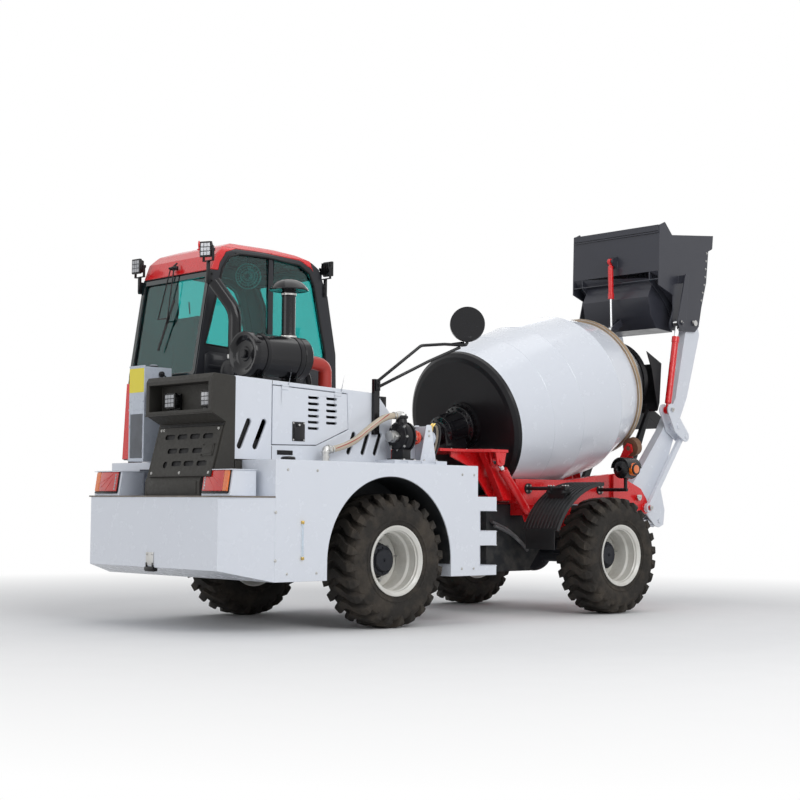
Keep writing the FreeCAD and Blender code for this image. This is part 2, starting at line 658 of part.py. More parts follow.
def hood_top(x):
    """Height of the hood's top plate at a place along X."""
    share = (x - HOOD_REAR) / (HOOD_FRONT - 170 - HOOD_REAR)
    return HOOD_TOP_REAR + (HOOD_TOP_FRONT - HOOD_TOP_REAR) * share


def exhaust_pipe():
    """Curved exhaust with a cushion-shaped silencer foot on the hood."""
    foot_z = hood_top(-980)
    points = [V(-940, -150, foot_z + 60), V(-940, -150, 2540), V(-1065, -32, 2775)]
    pipe = bent_tube(points, 260, 54, 46)
    muffler = cyl(V(-1010, -150, foot_z + 96), X, 320, 92)
    stand = box(-960, -900, -200, -100, hood_top(-900) - 20, foot_z + 80)
    stand_front = box(-780, -730, -200, -100, hood_top(-730) - 20, foot_z + 80)
    return fuse([pipe.cut(box(-1100, -800, -300, 0, 1800, foot_z + 90)), muffler, stand, stand_front]).cut(hood_block())


INTAKE_HOSE_R = 50.0
PUMP_HOSE_R = 27.0


def hoses():
    """Intake hose from the filter into the hood, and the suction hose of the water pump."""
    start = V(FILTER_X1 + 50, FILTER_Y, FILTER_Z - 20)
    intake = bent_tube([start, V(-225, FILTER_Y, FILTER_Z - 20), V(-225, FILTER_Y, hood_top(-225) - 20)],
                       150, INTAKE_HOSE_R).cut(hood_block())
    route = [V(PUMP_X - 55, PUMP_Y, PUMP_Z + 172), V(PUMP_X - 160, PUMP_Y, PUMP_Z + 172),
             V(PUMP_X - 330, PUMP_Y + 30, PUMP_Z + 60), V(PUMP_X - 470, PUMP_Y + 60, PUMP_Z - 60),
             V(ELBOW_X + 90, ELBOW_Y, ELBOW_Z), V(ELBOW_X + 30, ELBOW_Y, ELBOW_Z)]
    suction = bent_tube(route, 90, PUMP_HOSE_R)
    return group([intake, suction])


PUMP_X, PUMP_Y, PUMP_Z = 250.0, -860.0, 1545.0
ELBOW_X, ELBOW_Y, ELBOW_Z = -520.0, -800.0, 1420.0


def water_pump():
    """Water pump, coupling, bracket and hydraulic motor on a plate, and the tank elbow."""
    plate = box(60, 660, -985, -745, DECK_TOP, DECK_TOP + 35)
    volute = cyl(V(PUMP_X - 50, PUMP_Y, PUMP_Z), X, 100, 118)
    neck = cyl(V(PUMP_X, PUMP_Y, PUMP_Z), Z, 172, 36)
    turn = bent_tube([V(PUMP_X, PUMP_Y, PUMP_Z + 120), V(PUMP_X, PUMP_Y, PUMP_Z + 172),
                      V(PUMP_X - 55, PUMP_Y, PUMP_Z + 172)], 34, 30)
    inlet = cyl(V(PUMP_X - 130, PUMP_Y, PUMP_Z), X, 90, 42)
    shaft = cyl(V(PUMP_X + 40, PUMP_Y, PUMP_Z), X, 230, 26)
    coupling = cyl(V(PUMP_X + 110, PUMP_Y, PUMP_Z), X, 70, 58)
    motor = cyl(V(PUMP_X + 235, PUMP_Y, PUMP_Z), X, 130, 62)
    foot = box(PUMP_X - 45, PUMP_X + 45, PUMP_Y - 70, PUMP_Y + 70, DECK_TOP + 30, PUMP_Z)
    bracket = plate_y([(PUMP_X + 150, DECK_TOP + 30), (PUMP_X + 330, DECK_TOP + 30),
                       (PUMP_X + 260, PUMP_Z + 85), (PUMP_X + 215, PUMP_Z + 85)], PUMP_Y - 75, PUMP_Y + 75)
    elbow = bent_tube([V(ELBOW_X, ELBOW_Y, DECK_TOP), V(ELBOW_X, ELBOW_Y, ELBOW_Z),
                       V(ELBOW_X + 30, ELBOW_Y, ELBOW_Z)], 28, 31)
    machine = fuse([plate, volute, neck, turn.cut(cyl(V(PUMP_X, PUMP_Y, PUMP_Z), Z, 125, 60)), inlet,
                    shaft, coupling, motor, foot, bracket])
    return group([machine, elbow])


MIRROR_R = 148.0


def mirror():
    """Round mirror on two bent tubes from a post at the hood's front corner."""
    post = box(60, 120, -735, -700, 1560, 2020)
    disc_centre = V(905, -975, 2525)
    facing = V(-0.69, -0.725, 0)
    low_end = V(870, -960, 2345)
    upper = bent_tube([V(95, -728, 2000), V(480, -850, 2320), V(700, -905, 2345), low_end], 60, 13)
    lower = bent_tube([V(95, -728, 1950), V(540, -880, 2190), low_end - V(30, -8, 20)], 60, 13)
    riser = bent_tube([low_end, V(905, -972, 2352), V(905, -978, 2440)], 25, 13)
    disc = cyl(disc_centre, facing, 40, MIRROR_R)
    return fuse([post, upper, lower, riser, disc])


# ---------------------------------------------------------------- front module
CHASSIS_IN, CHASSIS_OUT = 380.0, 400.0
CHASSIS_REAR, CHASSIS_FRONT = 1760.0, 3350.0
CHASSIS_TOP = 1000.0


def front_chassis():
    """Plate box over the front axle, with the articulation lug between the yoke plates."""
    side = [(CHASSIS_REAR, CHASSIS_CLEAR), (2330, CHASSIS_CLEAR), (2560, AXLE_PAD_TOP),
            (3200, AXLE_PAD_TOP), (CHASSIS_FRONT, 800), (CHASSIS_FRONT, CHASSIS_TOP),
            (CHASSIS_REAR, CHASSIS_TOP)]
    pieces = [plate_y(side, CHASSIS_IN, CHASSIS_OUT), plate_y(side, -CHASSIS_OUT, -CHASSIS_IN)]
    pieces.append(box(CHASSIS_REAR, CHASSIS_REAR + 20, -CHASSIS_OUT, CHASSIS_OUT, CHASSIS_CLEAR, CHASSIS_TOP))
    pieces.append(box(CHASSIS_FRONT - 20, CHASSIS_FRONT, -CHASSIS_OUT, CHASSIS_OUT, 800, CHASSIS_TOP))
    pieces.append(box(CHASSIS_REAR, 2330, -CHASSIS_OUT, CHASSIS_OUT, CHASSIS_CLEAR, CHASSIS_CLEAR + 20))
    pieces.append(box(2330, 2360, -CHASSIS_OUT, CHASSIS_OUT, CHASSIS_CLEAR, CHASSIS_TOP))
    for side_sign in (RIGHT, LEFT):
        pieces.append(box(FRONT_X - 110, FRONT_X + 110, side_sign * 320, side_sign * 440, AXLE_PAD_TOP,
                          AXLE_PAD_TOP + 25))
    lug = box(PIVOT_X, CHASSIS_REAR, -120, 120, YOKE_LOW + YOKE_T + GAP, YOKE_HIGH - GAP)
    nose = cyl(V(PIVOT_X, 0, YOKE_LOW + YOKE_T + GAP), Z, YOKE_HIGH - YOKE_LOW - YOKE_T - 2 * GAP, 120)
    pieces += [lug, nose]
    bore = cyl(V(PIVOT_X, 0, 300), Z, 800, PIVOT_R + RUN_FIT)
    eye_x, eye_y = STEER_END
    window = box(CHASSIS_REAR - 5, CHASSIS_REAR + 25, eye_y - 75, eye_y + 75, STEER_Z - 28, STEER_Z + 28)
    ear = box(eye_x - 35, CHASSIS_REAR + 15, eye_y - 40, eye_y + 40, STEER_Z - 62, STEER_Z - 32)
    stub = cyl(V(eye_x, eye_y, STEER_Z - 74), Z, 47, 20)
    ears = [ear, ear.translated(V(0, 0, 94)), stub, stub.translated(V(0, 0, 101))]
    return fuse([fuse(pieces).cut(bore).cut(window)] + ears)


def front_frame():
    """Red frame: side beams, loader forks, cylinder brackets, cradle hinge pins, cross members."""
    beam = [(2000, 1010), (3300, 1010), (3420, 1000), (3420, 1310), (3300, 1300), (2750, 1235),
            (2000, 1235)]
    nose = [(3380, 1000), (3380, 1310), (3430, 1310), (3810, 1170), (3900, 1070), (3935, 990),
            (3915, 925), (3840, 915), (3640, 985)]
    inner_nose = [(3390, 880), (3390, 1160), (3640, 1190), (3800, 1170), (3845, 1100), (3820, 1010),
                  (3700, 980), (3560, 880)]
    outer_y = ARM_OUT + 8
    inner_y = ARM_IN - 8
    side = [plate_y(beam, BEAM_IN, BEAM_OUT), plate_y(nose, outer_y, outer_y + FORK_T),
            plate_y(inner_nose, inner_y - FORK_T, inner_y),
            box(3380, 3420, inner_y - FORK_T, outer_y + FORK_T, 1000, 1160),
            round_y(TIE_LOW, outer_y + FORK_T - 1, LINK_Y - 22, 40),
            round_y(TIE_LOW, outer_y, LINK_Y + 34, 24),
            round_y(ARM_PIVOT, inner_y - FORK_T, outer_y + FORK_T + 22, PIN_R),
            round_y(CRADLE_HINGE, CRADLE_IN - 10, inner_y - 1, 22),
            box(2080, 2260, CHASSIS_OUT, BEAM_OUT, 900, 1012),
            box(3180, 3345, CHASSIS_OUT, BEAM_OUT, 940, 1012)]
    for y in (LIFT_Y - 45, LIFT_Y + 30):
        hanger = [(LIFT_BASE[0] - 60, 1015), (LIFT_BASE[0] + 60, 1015), (LIFT_BASE[0] + 45, 770),
                  (LIFT_BASE[0] - 45, 770)]
        side.append(plate_y(hanger, y, y + 15))
    side.append(round_y(LIFT_BASE, LIFT_Y - 45, LIFT_Y + 45, 22))
    low = CRADLE_LOW_PIN
    for y in (CRADLE_CYL_Y - 45, CRADLE_CYL_Y + 28):
        side.append(plate_y([(low[0] - 60, low[1] + 10), (low[0] - 30, low[1] - 50), (low[0] + 30, low[1] - 50),
                             (low[0] + 110, low[1] + 60), (low[0] + 110, low[1] + 110)], y, y + 17))
    side.append(box(low[0] + 60, low[0] + 115, BEAM_IN + 10, CRADLE_CYL_Y + 45, low[1] + 15, low[1] + 110))
    side.append(box(low[0] + 60, low[0] + 115, BEAM_IN + 10, BEAM_OUT, low[1] + 60, 1015))
    side.append(round_y(low, CRADLE_CYL_Y - 45, CRADLE_CYL_Y + 50, 22))
    half = fuse(side)
    cross = box(3400, 3540, -inner_y + 1, inner_y - 1, 885, 975)
    rear_cross = box(2080, 2260, -CHASSIS_OUT - 1, CHASSIS_OUT + 1, CHASSIS_TOP, 1012)
    return fuse([half, mirrored(half), cross, rear_cross])


FENDER_C = (2610.0, 455.0)
FENDER_R = 752.0
FENDER_T = 10.0
FENDER_TUBE = (2165.0, 1148.0)


def fenders():
    """Quarter fenders behind the front wheels, each on a flanged tube from the red beam."""
    start, end = math.radians(92), math.radians(155)
    outer, inner = [], []
    steps = 10
    for i in range(steps + 1):
        a = start + (end - start) * i / steps
        outer.append((FENDER_C[0] + FENDER_R * math.cos(a), FENDER_C[1] + FENDER_R * math.sin(a)))
        r = FENDER_R - FENDER_T
        inner.append((FENDER_C[0] + r * math.cos(a), FENDER_C[1] + r * math.sin(a)))
    shell = plate_y(outer + inner[::-1], 700, BODY_HALF_W - 8)
    x, z = FENDER_TUBE
    tube = cyl(V(x, BEAM_OUT, z), Y, 470, 17)
    flange = cyl(V(x, BEAM_OUT, z), Y, 14, 48)
    post = box(x - 12, x + 12, 800, 990, z - 95, z)
    return pair(fuse([shell, tube, flange, post]))


LAMP = (3200.0, 860.0, 1345.0)


def headlamps():
    """Front lamps with amber side lights, on flanged tubes from the beams."""
    x, y, z = LAMP
    flange = cyl(V(x, BEAM_OUT, 1150), Y, 14, 46)
    tube = cyl(V(x, BEAM_OUT, 1150), Y, y - BEAM_OUT + 20, 17)
    post = cyl(V(x, y, 1150), Z, z - 1150 - 40, 17)
    body = cyl(V(x - 75, y, z), X, 150, 88)
    side_light = cyl(V(x, y + 60, z), Y, 72, 56)
    visor = ring(V(x - 90, y, z + 4), X, 200, 108, 96).cut(box(x - 200, x + 300, y - 200, y + 200, 0, z + 10))
    stay = box(x - 20, x + 20, y - 10, y + 10, z + 60, z + 108)
    return pair(fuse([flange, tube, post, body, side_light, visor, stay]))


# ---------------------------------------------------------------- drum and its cradle
TILT = math.radians(DRUM_TILT)
DRUM_AXIS = V(math.cos(TILT), 0, math.sin(TILT))
DRUM_UP = V(-math.sin(TILT), 0, math.cos(TILT))
DRUM_ORIGIN = V(DRUM_X, 0, DRUM_Z)


def on_drum(s, y, up):
    """A point at distance s along the drum axis, y to the left and up across it."""
    return DRUM_ORIGIN + DRUM_AXIS * s + Y * y + DRUM_UP * up


def drum_shell():
    """White drum skin: widening cone, belly and front cone up to the track ring."""
    end_s = DRUM_TRACK_S - DRUM_TRACK_W / 2
    end_r = DRUM_TRACK_R - 22
    w = DRUM_WALL
    skin = [(0, DRUM_HEAD_R), (DRUM_CONE_END * 0.5, (DRUM_HEAD_R + DRUM_R) / 2 + 14), (DRUM_CONE_END, DRUM_R),
            (DRUM_BELLY_END, DRUM_R), (end_s, end_r)]
    return revolve(skin + [(s, r - w) for s, r in skin[::-1]], DRUM_ORIGIN, DRUM_AXIS, DRUM_UP)


def drum_ends():
    """Black rear head with its flange and shaft, and the black front cone with the mouth ring."""
    w = DRUM_WALL
    head = [(0, DRUM_HEAD_R), (-32, DRUM_HEAD_R - 10), (-58, DRUM_HEAD_R - 45), (-62, DRUM_HEAD_R - 90),
            (-40, 240), (-40, 0), (-30, 0), (-30, 240), (-52, DRUM_HEAD_R - 92), (-48, DRUM_HEAD_R - 50),
            (-26, DRUM_HEAD_R - 18), (0, DRUM_HEAD_R - w)]
    shell = revolve(head, DRUM_ORIGIN, DRUM_AXIS, DRUM_UP)
    flange = cyl(on_drum(-75, 0, 0), DRUM_AXIS, 40, 212)
    shaft = cyl(on_drum(-DRUM_SHAFT, 0, 0), DRUM_AXIS, DRUM_SHAFT - 40, DRUM_SHAFT_R)
    begin = DRUM_TRACK_S + DRUM_TRACK_W / 2
    cone = [(begin, DRUM_TRACK_R - 22), (DRUM_MOUTH_S - 60, DRUM_MOUTH_R + 6), (DRUM_MOUTH_S - 60, DRUM_MOUTH_R + 20),
            (DRUM_MOUTH_S, DRUM_MOUTH_R + 20), (DRUM_MOUTH_S, DRUM_MOUTH_R - 2),
            (DRUM_MOUTH_S - 62, DRUM_MOUTH_R - 2), (begin, DRUM_TRACK_R - 22 - w)]
    return group([fuse([shell, flange, shaft]), revolve(cone, DRUM_ORIGIN, DRUM_AXIS, DRUM_UP)])


DRUM_SHAFT = 190.0
DRUM_SHAFT_R = 60.0


def drum_track():
    begin, end = DRUM_TRACK_S - DRUM_TRACK_W / 2, DRUM_TRACK_S + DRUM_TRACK_W / 2
    profile = [(begin, DRUM_TRACK_R), (end, DRUM_TRACK_R), (end, DRUM_TRACK_R - 40), (begin, DRUM_TRACK_R - 40)]
    return revolve(profile, DRUM_ORIGIN, DRUM_AXIS, DRUM_UP)


def drum_gearbox():
    """Planetary gearbox and motor on a foot, with a bore for the drum shaft."""
    profile = [(-75 - GAP, 0), (-75 - GAP, 185), (-112, 190), (-130, 150), (-300, 128), (-330, 140),
               (-352, 140), (-370, 96), (-470, 90), (-486, 70), (-560, 62), (-560, 0)]
    body = revolve(profile, DRUM_ORIGIN, DRUM_AXIS, DRUM_UP)
    bore = cyl(on_drum(-DRUM_SHAFT - GAP, 0, 0), DRUM_AXIS, DRUM_SHAFT + GAP, DRUM_SHAFT_R + RUN_FIT)
    top = PEDESTAL_Z + PEDESTAL_T
    foot = plate_x([(-170, top), (170, top), (120, top + 40), (95, 1700), (-95, 1700), (-120, top + 40)],
                   1520, 1790)
    return fuse([body, foot.cut(cyl(on_drum(-81, 0, 0), DRUM_AXIS, 400, 300))]).cut(bore)


ROLLER_DIST = DRUM_TRACK_R + ROLLER_R + 1.0
ROLLER_Y = ROLLER_DIST * math.sin(math.radians(ROLLER_ANGLE))
ROLLER_UP = -ROLLER_DIST * math.cos(math.radians(ROLLER_ANGLE))


def drum_plate(points, s0, s1):
    """An outline across the drum axis, thick from s0 to s1 along it."""
    return face_of([on_drum(s0, y, up) for y, up in points]).extrude(DRUM_AXIS * (s1 - s0))


def support_rollers():
    start = DRUM_TRACK_S - ROLLER_W / 2
    wheel = cyl(on_drum(start, ROLLER_Y, ROLLER_UP), DRUM_AXIS, ROLLER_W, ROLLER_R)
    axle_pin = cyl(on_drum(start - 38, ROLLER_Y, ROLLER_UP), DRUM_AXIS, ROLLER_W + 76, 22)
    return pair(fuse([wheel, axle_pin]))


def drum_cradle():
    """Tilting cradle: pedestal, legs, beams, front cross beam and the roller stands."""
    x_front = 3975.0
    half = []
    half.append(plate_y([(1900, 1030), (x_front, 1030), (x_front, 1130), (1930, 1130)],
                        CRADLE_IN, CRADLE_OUT).cut(box(3500, 4000, 0, 500, 1000, 1090)))
    side = [(1300, PEDESTAL_Z), (1770, PEDESTAL_Z), (1790, 1400), (1960, 1130), (1980, 1030), (1820, 1030),
            (1560, 1330), (1300, 1420)]
    half.append(plate_y(side, 380, 400))
    leg = [(1590, PEDESTAL_Z), (1770, PEDESTAL_Z), (1790, 1370), (1950, 1090), (1950, 1035), (1850, 1035)]
    half.append(plate_y(leg, 455, 530))
    half.append(box(1850, 1950, 400, 460, 1035, 1125))
    for y in (CRADLE_CYL_Y - 45, CRADLE_CYL_Y + 28):
        pin = CRADLE_TOP_PIN
        half.append(plate_y([(pin[0] - 70, PEDESTAL_Z + 2), (pin[0] + 70, PEDESTAL_Z + 2), (pin[0] + 45, pin[1] - 35),
                             (pin[0], pin[1] - 55), (pin[0] - 45, pin[1] - 35)], y, y + 17))
    half += pin_stubs(CRADLE_TOP_PIN, CRADLE_CYL_Y, 44, 45, 10, 22)
    plate = plate_z([(1130, 0), (1130, 430), (1440, 450), (1560, 650), (1780, 650), (1780, 0)],
                    PEDESTAL_Z, PEDESTAL_Z + PEDESTAL_T)
    half.append(plate)
    half.append(box(3800, x_front, 0, 424, 1100, 1190))
    stand = [(300, -1062), (424, -1062), (424, -730), (528, -664), (528, -590), (480, -575), (440, -612),
             (390, -680), (300, -800)]
    for s in (DRUM_TRACK_S - ROLLER_W / 2 - 34, DRUM_TRACK_S + ROLLER_W / 2 + 16):
        plate_s = drum_plate(stand, s, s + 18)
        half.append(plate_s.cut(cyl(on_drum(s - 5, ROLLER_Y, ROLLER_UP), DRUM_AXIS, 40, 22)))
    one = fuse(half).cut(round_y(CRADLE_HINGE, CRADLE_IN - 30, CRADLE_OUT + 30, 22 + RUN_FIT))
    return fuse([one, mirrored(one)])


HOPPER_IN = 388.0
HOPPER_TOP = 2470.0


def charge_hopper():
    """Charging hopper over the drum mouth, discharge spout below it, and their posts."""
    cheek = [(4130, HOPPER_TOP + 110), (4376, HOPPER_TOP), (4345, 2060), (4315, 1985), (4290, 2080),
             (4215, 2400)]
    half = [plate_y(cheek, HOPPER_IN, HOPPER_IN + 10)]
    half.append(plate_y([(4364, HOPPER_TOP), (4376, HOPPER_TOP), (4345, 2060), (4312, 1974), (4303, 1990),
                         (4333, 2062)], 0, HOPPER_IN + 5))
    half.append(plate_y([(4300, 1960), (4318, 1990), (4560, 1820), (4552, 1808)], 0, 235))
    half.append(plate_y([(4300, 1960), (4320, 2060), (4580, 1930), (4552, 1808)], 235, 245))
    post = [(3860, 1190), (3950, 1190), (4190, 1640), (4345, 1985), (4345, 2055), (4300, 1990), (4130, 1690)]
    half.append(plate_y(post, 250, 290))
    one = fuse(half)
    return fuse([one, mirrored(one)])


# ---------------------------------------------------------------- loader
def loader_arms():
    """Two bent box arms joined by a cross tube; their heels are forked for the lift cylinders."""
    outline = [(3668, 1050), (3720, 1000), (3860, 985), (4070, 800), (4140, 784), (4210, 812),
               (4232, 960), (4160, 1190), (4385, 1700), (4610, 2120), (4830, 2790), (4800, 2880),
               (4740, 2975), (4660, 2975), (4612, 2890), (4420, 2110), (4190, 1760), (3690, 1190)]
    arm = plate_y(outline, ARM_IN, ARM_OUT)
    fork = box(3300, 4300, LIFT_Y - 27, LIFT_Y + 27, 700, 982)
    tools = [fork, round_y(ARM_PIVOT, ARM_IN - 5, ARM_OUT + 5, PIN_R + RUN_FIT),
             round_y(BUCKET_PIVOT, ARM_IN - 5, ARM_OUT + 5, PIN_R + RUN_FIT)]
    arm = cut(arm, tools)
    pins = pin_stubs(ARM_HEEL, LIFT_Y, 2 * LIFT_ROD, 40, 17, 24)
    pins.append(round_y(CRANK_PIVOT, ARM_OUT - 10, CRANK_IN + CRANK_T + 12, PIN_R))
    pins.append(round_y(CRANK_PIVOT, ARM_OUT - 1, CRANK_IN - 3, 52))
    tube = cyl(at(ARM_CROSS, 0), Y, ARM_IN + 5, 62)
    half = fuse([arm, tube] + pins)
    return fuse([half, mirrored(half)])


CRANK_IN = 553.0
CRANK_T = 15.0


def cranks():
    """Bellcranks: the inner cheek turns on the arm's stub, and two pins carry the outer cheek.

    The stub ends short of the tie rod, which passes it when the arms are low.
    """
    pieces = []
    for y in (CRANK_IN, 2 * LINK_Y - CRANK_IN - CRANK_T):
        pieces.append(link_y(CRANK_TOP, 62, CRANK_PIVOT, 78, y, y + CRANK_T))
        pieces.append(link_y(CRANK_PIVOT, 78, TIE_TOP, 55, y, y + CRANK_T))
    pieces.append(round_y(CRANK_TOP, CRANK_IN, 2 * LINK_Y - CRANK_IN + 10, 24))
    pieces.append(round_y(TIE_TOP, CRANK_IN, 2 * LINK_Y - CRANK_IN + 10, 24))
    outer = 2 * LINK_Y - CRANK_IN
    pieces.append(round_y(CRANK_PIVOT, outer - CRANK_T, outer + 10, PIN_R))
    one = fuse(pieces).cut(round_y(CRANK_PIVOT, CRANK_IN - 5, LINK_Y, PIN_R + RUN_FIT))
    return pair(one)


def tie_rods():
    half_w = 20.0
    bar = link_y(TIE_LOW, 27, TIE_TOP, 26.9, LINK_Y - half_w, LINK_Y + half_w)
    ends = [round_y(pin, LINK_Y - half_w, LINK_Y + half_w, 46) for pin in (TIE_LOW, TIE_TOP)]
    one = fuse([bar] + ends)
    one = one.cut(round_y(TIE_LOW, 500, 700, 24 + RUN_FIT)).cut(round_y(TIE_TOP, 500, 700, 24 + RUN_FIT))
    return pair(one)


# each cylinder: barrel length, barrel radius, rod radius, and how far from the base pin the rod ends
LIFT_LEN, LIFT_R, LIFT_ROD, LIFT_IN = 735.0, 42.0, 25.0, 674.0
BUCKET_LEN, BUCKET_CYL_R, BUCKET_ROD, BUCKET_ROD_IN = 770.0, 34.0, 20.0, 250.0
GATE_LEN, GATE_R, GATE_ROD, GATE_ROD_IN = 390.0, 27.0, 12.0, 335.0
CRADLE_LEN, CRADLE_R, CRADLE_ROD, CRADLE_ROD_IN = 560.0, 38.0, 22.0, 200.0
STEER_LEN, STEER_R, STEER_ROD, STEER_ROD_IN = 515.0, 34.0, 18.0, 275.0


def lift_barrels():
    return pair(barrel(LIFT_BASE, ARM_HEEL, LIFT_Y, LIFT_R, LIFT_LEN, 50, 42, 22 + RUN_FIT, LIFT_ROD))


def lift_rods():
    return pair(rod(LIFT_BASE, ARM_HEEL, LIFT_Y, LIFT_ROD, LIFT_IN, 42, 40, 0))


def bucket_barrels():
    return pair(barrel(CRANK_TOP, BUCKET_PIN, LINK_Y, BUCKET_CYL_R, BUCKET_LEN, 44, 40, 24 + RUN_FIT, BUCKET_ROD,
                       70))


def bucket_rods():
    return pair(rod(CRANK_TOP, BUCKET_PIN, LINK_Y, BUCKET_ROD, BUCKET_ROD_IN, 44, 42, 0))


def gate_barrel():
    return barrel(GATE_CYL_TOP, GATE_CYL_LOW, 0, GATE_R, GATE_LEN, 36, 32, 14 + RUN_FIT, GATE_ROD, 45)


def gate_rod():
    return rod(GATE_CYL_TOP, GATE_CYL_LOW, 0, GATE_ROD, GATE_ROD_IN, 36, 30, 0)


def cradle_barrels():
    return pair(barrel(CRADLE_LOW_PIN, CRADLE_TOP_PIN, CRADLE_CYL_Y, CRADLE_R, CRADLE_LEN, 44, 42, 22 + RUN_FIT,
                       CRADLE_ROD))


def cradle_rods():
    return pair(rod(CRADLE_LOW_PIN, CRADLE_TOP_PIN, CRADLE_CYL_Y, CRADLE_ROD, CRADLE_ROD_IN, 44, 40, 0))


def steer_barrel():
    """The steering cylinder lies flat, so it is drawn upright and turned down."""
    base, end = (STEER_BASE[0], -STEER_BASE[1]), (STEER_END[0], -STEER_END[1])
    upright = barrel(base, end, 0, STEER_R, STEER_LEN, 50, 38, 20 + RUN_FIT, STEER_ROD)
    return upright.rotated(V(0, 0, 0), X, 90).translated(V(0, 0, STEER_Z))


def steer_rod():
    base, end = (STEER_BASE[0], -STEER_BASE[1]), (STEER_END[0], -STEER_END[1])
    upright = rod(base, end, 0, STEER_ROD, STEER_ROD_IN, 50, 36, 0)
    return upright.rotated(V(0, 0, 0), X, 90).translated(V(0, 0, STEER_Z))


def bucket_shafts():
    """Stub shafts of the bucket pivot, kept level by the linkage."""
    return pair(round_y(BUCKET_PIVOT, ARM_IN - 14, BUCKET_HALF_W + 24, PIN_R))


def bucket():
    """Bucket with open mouth above, sloped shoulders, and a narrower chute with an open gate way below."""
    inside = BUCKET_HALF_W - BUCKET_SIDE_T
    side = [(4120, 3860), (4210, 3900), (4330, 3780), (5045, 3860), (5030, 3720), (4960, 3690),
            (4920, 3350), (4835, 3080), (4785, 2870), (4720, 2810), (4310, 2795), (4285, 2860),
            (4345, 3010), (4345, 3160), (4105, 3240), (4108, 3390)]
    half = [plate_y(side, inside, BUCKET_HALF_W)]
    t = BUCKET_SKIN
    rear = [(4120, 3860), (4120 + t, 3860), (4108 + t, 3390), (4150 + t, 3328), (4150, 3322), (4108, 3390)]
    floor = [(5050, 3856), (5027, 3724), (4955, 3692), (4913, 3352), (4823, 3092), (4758, 3044), (4556, 3044),
             (4556, 3032), (4763, 3032), (4838, 3082), (4928, 3348), (4970, 3684), (5042, 3716), (5050, 3760)]
    half.append(plate_y(rear, 0, inside + 1))
    half.append(plate_y(floor, 0, inside + 1))
    half.append(plate_y([(4108, 3800), (4108, 3862), (4135, 3862), (4135, 3800)], 0, inside + 1))
    chute = [(4110, 3394), (4110, 3300), (4290, 3165), (4425, 3030), (4470, 2950), (4548, 2830), (4562, 2830),
             (4562, 3040)]
    half.append(plate_y(chute, CHUTE_HALF_W - t, CHUTE_HALF_W))
    half.append(plate_y([(4108, 3390), (4120, 3402), (4564, 3044), (4556, 3034)], CHUTE_HALF_W - t, inside + 1))
    half.append(plate_y([(4548, 2830), (4560, 2830), (4568, 3036), (4556, 3036)], 0, CHUTE_HALF_W))
    ear_in = 2 * LINK_Y - CRANK_IN - BUCKET_SIDE_T
    ear = [(4290, 2860), (4325, 2805), (4400, 2805), (4435, 2860), (4475, 3360), (4430, 3380)]
    half.append(plate_y(ear, ear_in, ear_in + BUCKET_SIDE_T))
    web = [(4430, 3290), (4462, 3290), (4466, 3370), (4436, 3370)]
    half.append(plate_y(web, BUCKET_HALF_W - 2, ear_in + 2))
    half.append(round_y(BUCKET_PIN, inside + 2, LINK_Y - 24, 24))
    half.append(round_y(BUCKET_PIN, LINK_Y + 24, ear_in + BUCKET_SIDE_T + 16, 24))
    half.append(round_y(GATE_PIVOT, CHUTE_HALF_W - 33, CHUTE_HALF_W, 15))
    top = GATE_CYL_TOP
    half.append(plate_y([(4112, top[1] - 70), (4112, top[1] + 60), (top[0], top[1] + 36), (top[0] - 32, top[1]),
                         (top[0], top[1] - 36)], 22, 34))
    half.append(round_y(top, 0, 42, 14))
    one = fuse(half)
    one = one.cut(round_y(BUCKET_PIVOT, inside - 5, BUCKET_HALF_W + 5, PIN_R + RUN_FIT))
    return fuse([one, mirrored(one)])


def bucket_gate():
    """Discharge gate: a bent wall between two quadrant plates that turn on pins in the chute walls."""
    outer = CHUTE_HALF_W - BUCKET_SKIN - GAP
    cheek = [(4530, 3086), (4470, 3098), (4185, 3292), (4105, 3135), (4150, 2950), (4245, 2822), (4515, 2802),
             (4533, 2990)]
    t = 10
    wall = [(4185, 3292), (4105, 3135), (4150, 2950), (4245, 2822), (4515, 2802), (4515, 2802 + t),
            (4250, 2833), (4160, 2954), (4116, 3135), (4192, 3283)]
    half = [plate_y(cheek, outer - 12, outer), plate_y(wall, 0, outer - 2)]
    low = GATE_CYL_LOW
    half.append(plate_y([(4165, 2935), (4200, 2880), (low[0] + 10, low[1] - 34), (low[0] - 28, low[1] - 14),
                         (low[0] - 24, low[1] + 26)], 22, 34))
    half.append(round_y(low, 20, 42, 14))
    one = fuse(half).cut(round_y(GATE_PIVOT, outer - 25, outer + 5, 15 + RUN_FIT))
    return fuse([one, mirrored(one)])


